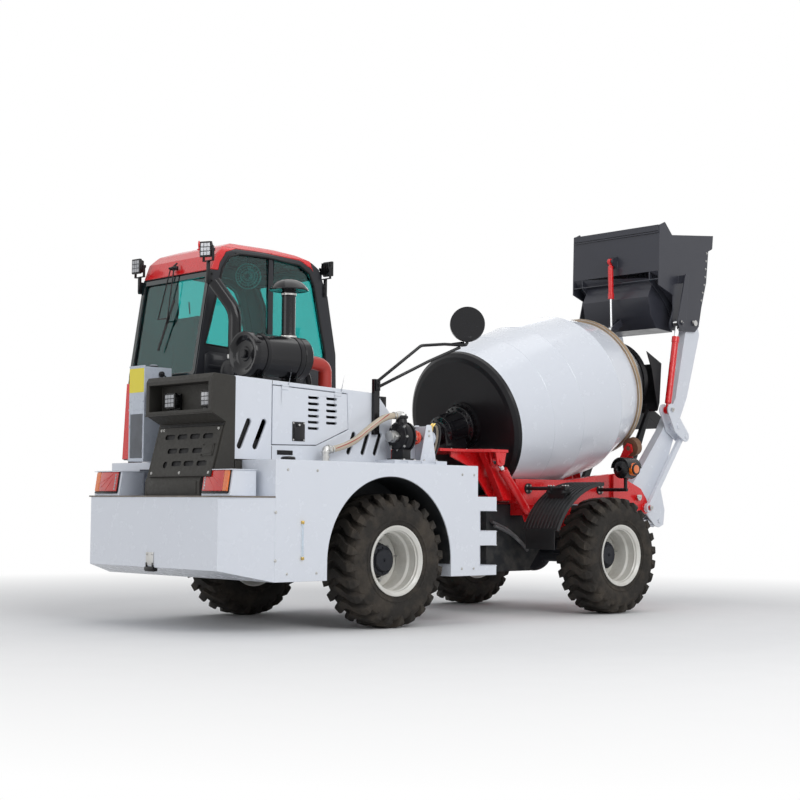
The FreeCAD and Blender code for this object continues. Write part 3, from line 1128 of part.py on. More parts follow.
# ---------------------------------------------------------------- the list of pieces
def all_pieces():
    pieces = {
        "rear_chassis": rear_chassis(), "rear_body": rear_body(), "rear_box": rear_box(),
        "rear_axle": axle(0), "tail_lamps": tail_lamps(), "hood_shell": hood_shell(),
        "hood_door": hood_door(), "rear_shroud": rear_shroud(), "engine_block": engine_block(),
        "cooler_box": cooler_box(), "cab_shell": cab_shell(), "cab_roof": cab_roof(),
        "cab_glass": cab_glass(), "cab_door": cab_door(), "cab_door_glass": cab_door_glass(),
        "seat": seat(), "cab_console": cab_console(), "air_filter": air_filter(),
        "exhaust_pipe": exhaust_pipe(), "hoses": hoses(), "water_pump": water_pump(), "mirror": mirror(),
        "steer_barrel": steer_barrel(), "steer_rod": steer_rod(), "front_chassis": front_chassis(),
        "front_frame": front_frame(), "front_axle": axle(FRONT_X), "fenders": fenders(),
        "headlamps": headlamps(), "drum_cradle": drum_cradle(), "drum_gearbox": drum_gearbox(),
        "support_rollers": support_rollers(), "charge_hopper": charge_hopper(),
        "drum_shell": drum_shell(), "drum_ends": drum_ends(), "drum_track": drum_track(),
        "cradle_barrels": cradle_barrels(), "cradle_rods": cradle_rods(), "loader_arms": loader_arms(),
        "cranks": cranks(), "tie_rods": tie_rods(), "lift_barrels": lift_barrels(), "lift_rods": lift_rods(),
        "bucket_shafts": bucket_shafts(), "bucket_barrels": bucket_barrels(), "bucket_rods": bucket_rods(),
        "bucket": bucket(), "bucket_gate": bucket_gate(), "gate_barrel": gate_barrel(), "gate_rod": gate_rod(),
    }
    for end, x in (("rear", 0), ("front", FRONT_X)):
        for name, side in (("right", RIGHT), ("left", LEFT)):
            pieces[end + "_" + name + "_tyre"] = tyre(x, side)
            pieces[end + "_" + name + "_rim"] = rim(x, side)
    return pieces


def place(shape):
    """Move a piece from rear-axle coordinates to the machine's origin."""
    return shape.translated(V(-X_MIDDLE, 0, 0))


if __name__ == "__main__":
    os.makedirs("parts", exist_ok=True)
    for node, shape in all_pieces().items():
        place(shape).exportStep("parts/" + node + ".step")
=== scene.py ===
import json
import math

import bmesh
import bpy
from mathutils import Matrix, Vector

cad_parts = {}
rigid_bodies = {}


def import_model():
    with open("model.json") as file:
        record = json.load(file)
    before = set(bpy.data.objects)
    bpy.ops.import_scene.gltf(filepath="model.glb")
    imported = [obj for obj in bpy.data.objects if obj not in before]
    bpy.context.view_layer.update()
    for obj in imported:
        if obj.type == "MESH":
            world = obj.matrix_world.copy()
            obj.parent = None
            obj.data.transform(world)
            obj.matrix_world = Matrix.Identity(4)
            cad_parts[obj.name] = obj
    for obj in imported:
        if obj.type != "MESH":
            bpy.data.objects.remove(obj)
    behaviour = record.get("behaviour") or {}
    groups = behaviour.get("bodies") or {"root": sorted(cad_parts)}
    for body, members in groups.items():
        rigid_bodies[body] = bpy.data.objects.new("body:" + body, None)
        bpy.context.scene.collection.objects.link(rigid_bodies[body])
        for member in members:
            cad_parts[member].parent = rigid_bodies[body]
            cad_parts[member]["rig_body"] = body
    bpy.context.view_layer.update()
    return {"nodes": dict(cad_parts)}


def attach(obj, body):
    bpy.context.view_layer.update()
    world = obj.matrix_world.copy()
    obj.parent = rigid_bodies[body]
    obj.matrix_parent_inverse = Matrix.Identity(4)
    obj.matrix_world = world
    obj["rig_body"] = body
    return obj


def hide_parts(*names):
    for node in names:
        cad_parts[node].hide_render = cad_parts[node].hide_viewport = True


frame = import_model()
NODES = frame["nodes"]

# Lengths are in metres.  +X runs forward to the bucket, +Y to the left, +Z up.
# Places are written from the rear axle forward and moved back by SHIFT, so that they line up with the frame.
SHIFT = 1.711
RIGHT, LEFT = -1, 1
REAR, FRONT = "rear_module", "front_module"
# The wheels stand on the floor, so an axle is as high as a tyre's radius.
AXLE_Z, TYRE_Y, FRONT_AXLE_X = 0.5375, 0.915, 2.85
THIRD_TURN = 2.094


def at(x, y, z):
    """A place written from the rear axle, in the frame."""
    return Vector((x - SHIFT, y, z))


# ---------------------------------------------------------------- shader groups
def new_group(name, inputs, outputs):
    """A node group with named sockets, and its input and output nodes."""
    tree = bpy.data.node_groups.new(name, "ShaderNodeTree")
    for label, kind, value in inputs:
        socket = tree.interface.new_socket(label, in_out="INPUT", socket_type=kind)
        socket.default_value = value
    for label, kind in outputs:
        tree.interface.new_socket(label, in_out="OUTPUT", socket_type=kind)
    return tree, tree.nodes.new("NodeGroupInput"), tree.nodes.new("NodeGroupOutput")


def node(tree, kind, **settings):
    """A new node with its settings."""
    made = tree.nodes.new(kind)
    for key, value in settings.items():
        setattr(made, key, value)
    return made


def link(tree, source, target):
    """Join one socket to another."""
    tree.links.new(source, target)


def feed(tree, value, socket):
    """Link another node's socket, or write a plain value."""
    if isinstance(value, bpy.types.NodeSocket):
        link(tree, value, socket)
    else:
        socket.default_value = value


def noise(tree, place, scale, detail, rough=0.5):
    """Cloudy noise at a scale, from 0 to 1."""
    made = node(tree, "ShaderNodeTexNoise")
    made.inputs["Scale"].default_value = scale
    made.inputs["Detail"].default_value = detail
    made.inputs["Roughness"].default_value = rough
    link(tree, place, made.inputs["Vector"])
    return made.outputs["Fac"]


def ramp(tree, value, low, high):
    """0 up to a low value, 1 from a high one, and even between."""
    made = node(tree, "ShaderNodeMapRange", clamp=True)
    made.inputs["From Min"].default_value = low
    made.inputs["From Max"].default_value = high
    link(tree, value, made.inputs["Value"])
    return made.outputs["Result"]


def mix_color(tree, factor, a, b):
    """Colour a, turning to b as the factor goes to 1."""
    made = node(tree, "ShaderNodeMix", data_type="RGBA", blend_type="MIX")
    for socket, value in ((made.inputs[0], factor), (made.inputs[6], a), (made.inputs[7], b)):
        feed(tree, value, socket)
    return made.outputs[2]


def math_node(tree, operation, a, b):
    """The result of a sum on two values."""
    made = node(tree, "ShaderNodeMath", operation=operation)
    feed(tree, a, made.inputs[0])
    feed(tree, b, made.inputs[1])
    return made.outputs[0]


def swing(tree, value, low, high):
    """A roughness that swings between two of a group's own inputs with a cloudy value."""
    made = node(tree, "ShaderNodeMapRange", clamp=True)
    link(tree, value, made.inputs["Value"])
    made.inputs["From Min"].default_value = 0.3
    made.inputs["From Max"].default_value = 0.7
    link(tree, low, made.inputs["To Min"])
    link(tree, high, made.inputs["To Max"])
    return made.outputs["Result"]


def bump_on(tree, height, strength, distance):
    """The normal of a surface with a height pressed into it."""
    made = node(tree, "ShaderNodeBump")
    made.inputs["Distance"].default_value = distance
    link(tree, strength, made.inputs["Strength"])
    link(tree, height, made.inputs["Height"])
    return made.outputs["Normal"]


def make_paint_group():
    """Sprayed paint: slow drift of tone, dust that gathers low down and on ledges, fine orange peel."""
    tree, start, end = new_group("sprayed_paint", [
        ("Color", "NodeSocketColor", (0.8, 0.8, 0.8, 1)),
        ("Dust Color", "NodeSocketColor", (0.35, 0.3, 0.25, 1)), ("Dust", "NodeSocketFloat", 0.1),
        ("Tone Drift", "NodeSocketFloat", 0.05), ("Gloss Low", "NodeSocketFloat", 0.25),
        ("Gloss High", "NodeSocketFloat", 0.4), ("Peel", "NodeSocketFloat", 0.1),
        ("Dust Height", "NodeSocketFloat", 1.2)],
        [("Color", "NodeSocketColor"), ("Roughness", "NodeSocketFloat"), ("Normal", "NodeSocketVector")])
    place = node(tree, "ShaderNodeTexCoord").outputs["Object"]
    slow = noise(tree, place, 1.7, 3.0, 0.6)
    blotch = noise(tree, place, 9.0, 5.0, 0.65)
    fine = noise(tree, place, 90.0, 3.0, 0.7)
    split = node(tree, "ShaderNodeSeparateXYZ")
    link(tree, place, split.inputs[0])
    over = math_node(tree, "SUBTRACT", start.outputs["Dust Height"], split.outputs["Z"])
    low = ramp(tree, over, 0.0, 1.2)
    normal = node(tree, "ShaderNodeNewGeometry").outputs["Normal"]
    tilt = node(tree, "ShaderNodeSeparateXYZ")
    link(tree, normal, tilt.inputs[0])
    ledge = ramp(tree, tilt.outputs["Z"], 0.55, 1.0)
    patch = ramp(tree, blotch, 0.42, 0.72)
    speck = ramp(tree, fine, 0.5, 0.75)
    amount = math_node(tree, "MULTIPLY", low, patch)
    amount = math_node(tree, "ADD", amount, math_node(tree, "MULTIPLY", ledge, 0.45))
    amount = math_node(tree, "ADD", amount, math_node(tree, "MULTIPLY", speck, 0.12))
    amount = math_node(tree, "MULTIPLY", amount, start.outputs["Dust"])
    shade = math_node(tree, "MULTIPLY", math_node(tree, "SUBTRACT", slow, 0.5), start.outputs["Tone Drift"])
    toned = mix_color(tree, shade, start.outputs["Color"], (0.0, 0.0, 0.0, 1))
    dusty = mix_color(tree, amount, toned, start.outputs["Dust Color"])
    link(tree, dusty, end.inputs["Color"])
    gloss = swing(tree, blotch, start.outputs["Gloss Low"], start.outputs["Gloss High"])
    rough = math_node(tree, "ADD", gloss, math_node(tree, "MULTIPLY", amount, 0.5))
    link(tree, rough, end.inputs["Roughness"])
    peel = noise(tree, place, 220.0, 1.0, 0.4)
    link(tree, bump_on(tree, peel, start.outputs["Peel"], 0.0006), end.inputs["Normal"])
    return tree


def make_grain_group():
    """Grained or cast surface: cells and fine noise as a bump, with a little change of tone."""
    tree, start, end = new_group("grained_surface", [
        ("Color", "NodeSocketColor", (0.1, 0.1, 0.1, 1)),
        ("Worn Color", "NodeSocketColor", (0.2, 0.2, 0.2, 1)), ("Wear", "NodeSocketFloat", 0.2),
        ("Scale", "NodeSocketFloat", 200.0), ("Depth", "NodeSocketFloat", 0.3),
        ("Rough Low", "NodeSocketFloat", 0.4), ("Rough High", "NodeSocketFloat", 0.6)],
        [("Color", "NodeSocketColor"), ("Roughness", "NodeSocketFloat"), ("Normal", "NodeSocketVector")])
    place = node(tree, "ShaderNodeTexCoord").outputs["Object"]
    cells = node(tree, "ShaderNodeTexVoronoi")
    link(tree, place, cells.inputs["Vector"])
    link(tree, start.outputs["Scale"], cells.inputs["Scale"])
    fleck = noise(tree, place, 38.0, 4.0)
    patch = noise(tree, place, 6.0, 4.0, 0.6)
    height = math_node(tree, "ADD", cells.outputs["Distance"], math_node(tree, "MULTIPLY", fleck, 0.7))
    link(tree, bump_on(tree, height, start.outputs["Depth"], 0.0012), end.inputs["Normal"])
    worn = math_node(tree, "MULTIPLY", ramp(tree, patch, 0.45, 0.7), start.outputs["Wear"])
    tone = mix_color(tree, worn, start.outputs["Color"], start.outputs["Worn Color"])
    link(tree, tone, end.inputs["Color"])
    gloss = swing(tree, fleck, start.outputs["Rough Low"], start.outputs["Rough High"])
    link(tree, gloss, end.inputs["Roughness"])
    return tree


PAINT = make_paint_group()
GRAIN = make_grain_group()


def base_material(name, metallic=0.0, coat=0.0, ior=1.5):
    """A new material and its Principled shader, with the values that are plain all over."""
    material = bpy.data.materials.new(name)
    material.use_nodes = True
    shader = material.node_tree.nodes["Principled BSDF"]
    shader.inputs["Metallic"].default_value = metallic
    shader.inputs["Coat Weight"].default_value = coat
    shader.inputs["Coat Roughness"].default_value = 0.1
    shader.inputs["IOR"].default_value = ior
    return material, shader


def grouped(name, group, values, **settings):
    """A material whose colour, roughness and normal come from a shader group."""
    material, shader = base_material(name, **settings)
    tree = material.node_tree
    made = node(tree, "ShaderNodeGroup", node_tree=group)
    for key, value in values.items():
        made.inputs[key].default_value = (*value, 1.0) if isinstance(value, tuple) else value
    link(tree, made.outputs["Color"], shader.inputs["Base Color"])
    link(tree, made.outputs["Roughness"], shader.inputs["Roughness"])
    link(tree, made.outputs["Normal"], shader.inputs["Normal"])
    return material


def paint(name, color, dust, dust_color=(0.3, 0.27, 0.23), gloss=(0.22, 0.34), drift=0.06, peel=0.12,
          coat=0.35, height=1.2, ior=1.5):
    """Sprayed enamel; gloss gives its lowest and highest roughness, and dust settles below height."""
    values = {"Color": color, "Dust Color": dust_color, "Dust": dust, "Tone Drift": drift, "Peel": peel,
              "Gloss Low": gloss[0], "Gloss High": gloss[1], "Dust Height": height}
    return grouped(name, PAINT, values, coat=coat, ior=ior)


def grain(name, color, worn, wear=0.2, scale=200.0, depth=0.3, rough=(0.45, 0.62), **settings):
    """Cast, moulded, rolled or woven stuff, with a worn colour in patches."""
    values = {"Color": color, "Worn Color": worn, "Wear": wear, "Scale": scale, "Depth": depth,
              "Rough Low": rough[0], "Rough High": rough[1]}
    return grouped(name, GRAIN, values, **settings)


WHITE = paint("white_enamel", (0.77, 0.805, 0.87), dust=0.035, gloss=(0.25, 0.28), drift=0.02, peel=0.06,
              height=1.1)
RED = paint("red_enamel", (0.78, 0.01, 0.014), dust=0.04, drift=0.08, height=1.3)
GLOSS_BLACK = paint("gloss_black_enamel", (0.008, 0.008, 0.01), dust=0.06, gloss=(0.14, 0.24), coat=0.25,
                    ior=1.3)
SATIN_BLACK = paint("satin_black_enamel", (0.011, 0.011, 0.013), dust=0.1, gloss=(0.3, 0.42), coat=0.1,
                    ior=1.3)
CHARCOAL = grain("charcoal_powder_coat", (0.036, 0.034, 0.03), (0.06, 0.057, 0.05), scale=420.0, depth=0.35,
                 ior=1.35)
CHASSIS = paint("chassis_enamel", (0.022, 0.024, 0.027), dust=0.3, gloss=(0.4, 0.55), coat=0.0, ior=1.35)
SLATE = paint("slate_enamel", (0.04, 0.042, 0.055), dust=0.12, gloss=(0.3, 0.42), height=0.5, coat=0.15,
              ior=1.4)
CAB_FRAME = paint("cab_frame_enamel", (0.018, 0.019, 0.024), dust=0.05, gloss=(0.28, 0.4), coat=0.15,
                  ior=1.35)
COOLER = paint("cooler_enamel", (0.55, 0.6, 0.68), dust=0.1)
RIM_PAINT = paint("rim_enamel", (0.78, 0.77, 0.72), dust=0.35, dust_color=(0.35, 0.29, 0.22))
AXLE_IRON = grain("painted_casting", (0.018, 0.02, 0.026), (0.05, 0.05, 0.05), depth=0.5, scale=160.0,
                  ior=1.35)
ENGINE_IRON = grain("cast_iron", (0.1, 0.1, 0.11), (0.2, 0.19, 0.17), depth=0.6)
TRACK_STEEL = grain("rolled_track", (0.42, 0.3, 0.19), (0.25, 0.17, 0.1), wear=0.6, depth=0.15,
                    rough=(0.35, 0.5), metallic=0.5)
ROLLER_STEEL = grain("rusty_roller", (0.2, 0.1, 0.055), (0.3, 0.2, 0.12), wear=0.5, depth=0.2, metallic=0.3)
CHROME = grain("chrome_bar", (0.8, 0.81, 0.83), (0.7, 0.71, 0.72), wear=0.1, depth=0.01, rough=(0.08, 0.16),
               metallic=1.0)
ZINC = grain("zinc_plate", (0.55, 0.55, 0.54), (0.42, 0.4, 0.36), wear=0.3, depth=0.08, rough=(0.28, 0.42),
             metallic=1.0)
TYRE_BLACK = grain("tread_rubber", (0.028, 0.025, 0.022), (0.085, 0.07, 0.055), wear=0.7, scale=90.0,
                   depth=0.25, rough=(0.7, 0.9), ior=1.35)
FENDER = grain("moulded_fender", (0.014, 0.014, 0.015), (0.03, 0.03, 0.03), scale=300.0, depth=0.25,
               rough=(0.35, 0.5), ior=1.4)
LAMP_BLACK = grain("lamp_housing", (0.012, 0.012, 0.013), (0.02, 0.02, 0.02), depth=0.05, rough=(0.2, 0.32),
                   ior=1.35)
DARK_PLASTIC = grain("console_moulding", (0.03, 0.03, 0.033), (0.045, 0.045, 0.045), depth=0.3)
HOSE_RED = grain("intake_hose_rubber", (0.42, 0.03, 0.02), (0.3, 0.05, 0.03), depth=0.1, rough=(0.3, 0.45))
FABRIC = grain("seat_weave", (0.025, 0.025, 0.028), (0.04, 0.04, 0.043), scale=900.0, depth=0.5,
               rough=(0.8, 0.95))


def make_glass(name, tint, rough=0.02):
    """Clear or tinted glass."""
    material, shader = base_material(name, ior=1.45)
    shader.inputs["Transmission Weight"].default_value = 1.0
    shader.inputs["Base Color"].default_value = (*tint, 1)
    shader.inputs["Roughness"].default_value = rough
    return material


GLASS = make_glass("tinted_glass", (0.14, 0.6, 0.58))

CAD_LOOK = {
    WHITE: ["rear_body", "rear_box", "tail_lamps", "hood_shell", "hood_door", "drum_shell", "loader_arms",
            "cranks", "tie_rods"],
    RED: ["cab_roof", "steer_barrel", "front_frame", "drum_cradle", "cradle_barrels", "lift_barrels",
          "bucket_barrels", "gate_barrel"],
    CHARCOAL: ["rear_shroud"],
    CHASSIS: ["rear_chassis", "front_chassis"],
    SLATE: ["bucket", "bucket_gate"],
    CAB_FRAME: ["cab_shell", "cab_door"],
    COOLER: ["cooler_box"],
    AXLE_IRON: ["rear_axle", "front_axle"],
    ENGINE_IRON: ["engine_block"],
    GLOSS_BLACK: ["air_filter", "exhaust_pipe", "mirror", "drum_gearbox", "water_pump"],
    SATIN_BLACK: ["drum_ends", "charge_hopper"],
    TRACK_STEEL: ["drum_track"],
    ROLLER_STEEL: ["support_rollers"],
    CHROME: ["steer_rod", "cradle_rods", "lift_rods", "bucket_rods", "gate_rod"],
    ZINC: ["bucket_shafts"],
    FENDER: ["fenders"],
    LAMP_BLACK: ["headlamps"],
    DARK_PLASTIC: ["cab_console"],
    HOSE_RED: ["hoses"],
    FABRIC: ["seat"],
    GLASS: ["cab_glass", "cab_door_glass"],
    TYRE_BLACK: [f"{e}_{s}_tyre" for e in ("rear", "front") for s in ("right", "left")],
    RIM_PAINT: [f"{e}_{s}_rim" for e in ("rear", "front") for s in ("right", "left")],
}
for look, names in CAD_LOOK.items():
    for name in names:
        mesh = NODES[name].data
        mesh.materials.clear()
        mesh.materials.append(look)


# ---------------------------------------------------------------- makers of pieces
# An edge that turns more than this many degrees is rounded and stays crisp.
SHARP_EDGE = 30


def keep(mesh, name, looks, body, sharp=32):
    """Link a finished mesh as a piece that rides on a body."""
    mesh.name = name
    for look in looks:
        mesh.materials.append(look)
    mesh.shade_smooth()
    mesh.set_sharp_from_angle(angle=math.radians(sharp))
    piece = bpy.data.objects.new(name, mesh)
    bpy.context.scene.collection.objects.link(piece)
    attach(piece, body)
    return piece


def settle(shape, name, looks, body, sharp=32, outward=True):
    """Turn a finished bmesh into a piece."""
    if outward:
        bmesh.ops.recalc_face_normals(shape, faces=shape.faces)
    mesh = bpy.data.meshes.new(name)
    shape.to_mesh(mesh)
    shape.free()
    return keep(mesh, name, looks if isinstance(looks, list) else [looks], body, sharp)


def soften(name, width):
    """The CAD node's own shape with its plate edges rounded off, standing for the node."""
    source = NODES[name]
    body = source["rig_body"]
    looks = list(source.data.materials)
    shape = bmesh.new()
    shape.from_mesh(source.data)
    bmesh.ops.remove_doubles(shape, verts=shape.verts, dist=0.00003)
    bmesh.ops.dissolve_limit(shape, angle_limit=math.radians(0.6), verts=shape.verts, edges=shape.edges)
    piece = settle(shape, name + "_finished", looks, body, sharp=SHARP_EDGE, outward=False)
    edge = piece.modifiers.new("rounded_edges", "BEVEL")
    edge.width = width
    edge.segments = 2
    edge.limit_method = "ANGLE"
    edge.angle_limit = math.radians(SHARP_EDGE)
    edge.use_clamp_overlap = False
    edge.harden_normals = True
    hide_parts(name)
    return piece


def facing(place, way, spin=0.0):
    """A frame at a place whose Z axis runs along way."""
    turn = Vector(way).to_track_quat("Z", "Y").to_matrix().to_4x4()
    return Matrix.Translation(place) @ turn @ Matrix.Rotation(spin, 4, "Z")


def spot(frame_of, x, y, z):
    """A place written in a frame's own axes."""
    return frame_of @ Vector((x, y, z))


def round_off(shape, edges, offset, segments=2):
    """Bevel edges with the same even profile everywhere."""
    return bmesh.ops.bevel(shape, geom=edges, offset=offset, segments=segments,
                           profile=0.5, affect="EDGES", material=-1)


def once(items):
    """Items in their order, each one once."""
    return list(dict.fromkeys(items))


def edges_of(verts):
    """The edges that meet any of these vertices."""
    return once(e for v in verts for e in v.link_edges)


def add_turned_block(shape, frame_of, size, edge, segments=2):
    """A block centred on a frame, with its edges rounded."""
    made = bmesh.ops.create_cube(shape, size=1.0, matrix=frame_of @ Matrix.Diagonal((*size, 1)))["verts"]
    if edge:
        round_off(shape, edges_of(made), edge, segments)


def add_block(shape, low, high, edge, segments=2):
    """A plate or bar between two corners, with its edges rounded."""
    low, high = at(*low), at(*high)
    size = [abs(v) for v in high - low]
    add_turned_block(shape, Matrix.Translation((low + high) / 2), size, edge, segments)


def add_bar(shape, start, end, radius, steps, edge=0.0):
    """A round bar between two places in the frame; with 6 steps, a hexagon."""
    start, end = Vector(start), Vector(end)
    matrix = facing((start + end) / 2, end - start)
    made = bmesh.ops.create_cone(shape, cap_ends=True, cap_tris=False, segments=steps, radius1=radius,
                                 radius2=radius, depth=(end - start).length, matrix=matrix)["verts"]
    if edge:
        round_off(shape, [e for e in edges_of(made) if any(len(f.verts) > 4 for f in e.link_faces)], edge)


def add_turned(shape, profile, place, way, steps):
    """Turn a profile of (along, radius) round the line from place along way."""
    matrix = facing(place, way)
    closed = profile[0] == profile[-1]
    points = profile[:-1] if closed else profile
    verts = [shape.verts.new(matrix @ Vector((r, 0, s))) for s, r in points]
    pairs = list(zip(verts, verts[1:])) + ([(verts[-1], verts[0])] if closed else [])
    edges = [shape.edges.new(pair) for pair in pairs]
    before = set(shape.verts)
    bmesh.ops.spin(shape, geom=verts + edges, cent=place, axis=Vector(way).normalized(),
                   angle=2 * math.pi, steps=steps, use_merge=True, use_duplicate=False)
    made = verts + [v for v in shape.verts if v not in before]
    bmesh.ops.remove_doubles(shape, verts=[v for v in made if v.is_valid], dist=0.00001)


def add_ring(shape, start, wide, inner, outer, place, way, steps):
    """A flat-sided ring round the line from place along way."""
    end = start + wide
    profile = [(start, inner), (start, outer), (end, outer), (end, inner), (start, inner)]
    add_turned(shape, profile, place, way, steps)


def add_wire_ring(shape, along, radius, wire, sides, place, way, steps):
    """A ring of round wire."""
    angles = [2 * math.pi / sides * i for i in range(sides)]
    section = [(along + wire * math.sin(a), radius + wire * math.cos(a)) for a in angles]
    add_turned(shape, section + [section[0]], place, way, steps)


def add_bolt(shape, place, way, radius, height, spin=0.3):
    """A hexagon bolt head on its washer."""
    way = Vector(way).normalized()
    place = Vector(place)
    bmesh.ops.create_cone(shape, cap_ends=True, segments=14, radius1=radius * 1.45, radius2=radius * 1.4,
                          depth=height * 0.3, matrix=facing(place + way * height * 0.15, way))
    bmesh.ops.create_cone(shape, cap_ends=True, segments=6, radius1=radius, radius2=radius * 0.96,
                          depth=height, matrix=facing(place + way * height * 0.75, way, spin))
    bmesh.ops.create_cone(shape, cap_ends=True, segments=10, radius1=radius * 0.5, radius2=radius * 0.46,
                          depth=height * 0.5, matrix=facing(place + way * height * 1.4, way))


def ring_of_bolts(shape, place, way, circle, count, radius, height, turn=0.0):
    """Bolts on a circle, each turned a little further than the last."""
    frame_of = facing(place, way)
    for i in range(count):
        a = turn + 2 * math.pi * i / count
        place = spot(frame_of, circle * math.cos(a), circle * math.sin(a), 0)
        add_bolt(shape, place, way, radius, height, spin=a)


def add_prism(shape, outline, push, edge, segments=2):
    """A flat outline of places in the frame, thickened by push, with its edges rounded."""
    face = shape.faces.new([shape.verts.new(Vector(p)) for p in outline])
    made = bmesh.ops.extrude_face_region(shape, geom=[face])["geom"]
    moved = [v for v in made if isinstance(v, bmesh.types.BMVert)]
    bmesh.ops.translate(shape, vec=Vector(push), verts=moved)
    if edge:
        around = edges_of([*face.verts, *moved])
        round_off(shape, [e for e in around if e.calc_face_angle(0.0) > 0.3], edge, segments)


def side_plate(shape, outline, y0, y1, edge=0.0, segments=2):
    """A plate whose outline is in the XZ plane, between two places across."""
    add_prism(shape, [at(x, y0, z) for x, z in outline], (0, y1 - y0, 0), edge, segments)


def cross_plate(shape, outline, x0, x1, edge):
    """A plate whose outline is in the YZ plane, between two places along."""
    add_prism(shape, [at(x0, y, z) for y, z in outline], (x1 - x0, 0, 0), edge)


def mesh_from(curve):
    """The mesh that a curve makes."""
    maker = bpy.data.objects.new(curve.name, curve)
    mesh = bpy.data.meshes.new_from_object(maker)
    bpy.data.objects.remove(maker)
    return mesh


def add_spline(curve, points):
    """A closed line of straight pieces through points in the curve's own space."""
    spline = curve.splines.new("POLY")
    spline.points.add(len(points) - 1)
    for point, place in zip(spline.points, points):
        point.co = (*place, 1)
    spline.use_cyclic_u = True


def flat_with_holes(name, outlines, matrix, thick, look, body, edge):
    """A plate cut from sheet in the matrix's XY plane: first its rim, and then its holes."""
    curve = bpy.data.curves.new(name, "CURVE")
    curve.dimensions = "2D"
    curve.fill_mode = "BOTH"
    curve.extrude = thick / 2 - edge
    curve.bevel_depth = edge
    curve.bevel_resolution = 1
    curve.offset = -edge
    for outline in outlines:
        add_spline(curve, [(x, y, 0) for x, y in outline])
    mesh = mesh_from(curve)
    mesh.transform(matrix @ Matrix.Translation((0, 0, thick / 2)))
    return keep(mesh, name, [look], body)


def slot_outline(x0, y0, x1, y1, radius, steps=8):
    """A slot with round ends, as an outline."""
    base = math.atan2(y1 - y0, x1 - x0)
    points = []
    for cx, cy, turn in ((x1, y1, -0.5), (x0, y0, 0.5)):
        for i in range(steps + 1):
            a = base + math.pi * (turn + i / steps)
            points.append((cx + radius * math.cos(a), cy + radius * math.sin(a)))
    return points


def round_box(x0, y0, x1, y1, radius):
    """A rectangle with round corners, as an outline."""
    points, steps = [], 4
    for cx, cy, start in ((x1 - radius, y1 - radius, 0), (x0 + radius, y1 - radius, 90),
                          (x0 + radius, y0 + radius, 180), (x1 - radius, y0 + radius, 270)):
        for i in range(steps + 1):
            a = math.radians(start + 90 * i / steps)
            points.append((cx + radius * math.cos(a), cy + radius * math.sin(a)))
    return points


def pipe_curve(name, points, radius):
    """A smooth round hose or pipe through a route of places in the frame."""
    curve = bpy.data.curves.new(name, "CURVE")
    curve.dimensions = "3D"
    curve.bevel_depth = radius
    curve.bevel_resolution = 5
    curve.resolution_u = 10
    curve.use_fill_caps = True
    spline = curve.splines.new("NURBS")
    spline.points.add(len(points) - 1)
    for point, place in zip(spline.points, points):
        point.co = (*place, 1)
    spline.order_u = 3
    spline.use_endpoint_u = True
    return curve


def pipes(name, routes, look, body):
    """Several pipes that are one piece."""
    shape = bmesh.new()
    for points, radius in routes:
        shape.from_mesh(mesh_from(pipe_curve(name, [at(*p) for p in points], radius)))
    return settle(shape, name, look, body, 40, outward=False)


def both_sides(shape):
    """Add the same again on the other side of the machine."""
    whole = list(shape.verts) + list(shape.edges) + list(shape.faces)
    made = bmesh.ops.duplicate(shape, geom=whole)["geom"]
    verts = [v for v in made if isinstance(v, bmesh.types.BMVert)]
    bmesh.ops.scale(shape, vec=(1, -1, 1), verts=verts)
    bmesh.ops.reverse_faces(shape, faces=[f for f in made if isinstance(f, bmesh.types.BMFace)])


# ---------------------------------------------------------------- finishes and makers for the fittings
LENS_RED = grain("tail_lens", (0.6, 0.008, 0.006), (0.75, 0.03, 0.01), wear=0.5, scale=240.0, depth=0.2,
                 rough=(0.08, 0.16), coat=0.8)
LENS_AMBER = grain("amber_lens", (0.85, 0.17, 0.01), (0.95, 0.3, 0.03), wear=0.4, scale=240.0, depth=0.25,
                   rough=(0.08, 0.16), coat=0.8)
REFLECTOR = grain("lamp_reflector", (0.3, 0.31, 0.33), (0.6, 0.6, 0.62), wear=0.8, scale=110.0, depth=1.0,
                  rough=(0.12, 0.28), metallic=0.5, coat=0.8)
RUBBER = grain("seal_rubber", (0.011, 0.011, 0.012), (0.035, 0.034, 0.032), wear=0.3, scale=260.0, depth=0.15,
               rough=(0.5, 0.68), ior=1.35)
RAW_EDGE = grain("cut_plate_edge", (0.16, 0.135, 0.11), (0.3, 0.26, 0.21), wear=0.6, scale=150.0, depth=0.3,
                 rough=(0.5, 0.7))
SILVERED = grain("mirror_glass", (0.82, 0.84, 0.86), (0.78, 0.8, 0.82), wear=0.1, depth=0.01,
                 rough=(0.02, 0.05), metallic=1.0)
BRASS = grain("brass_fitting", (0.7, 0.5, 0.16), (0.5, 0.38, 0.15), wear=0.5, depth=0.1, rough=(0.25, 0.4),
              metallic=1.0)
PALE_HOSE = grain("suction_hose_wall", (0.52, 0.44, 0.33), (0.62, 0.55, 0.43), wear=0.4, scale=120.0,
                  depth=0.1, rough=(0.25, 0.4), coat=0.4)
BLACK_HOSE = grain("oil_hose_rubber", (0.014, 0.014, 0.015), (0.045, 0.044, 0.042), wear=0.4, scale=500.0,
                   depth=0.3, rough=(0.42, 0.6))
BRAID = grain("braided_sleeve", (0.12, 0.12, 0.125), (0.3, 0.3, 0.3), wear=0.6, scale=420.0, depth=0.9,
              rough=(0.35, 0.5), metallic=0.3)
CLEAR = make_glass("gauge_tube", (0.82, 0.9, 0.95), 0.05)
CORAL = grain("coral_coupling", (0.75, 0.09, 0.05), (0.6, 0.1, 0.07), wear=0.3, depth=0.1, rough=(0.3, 0.45))


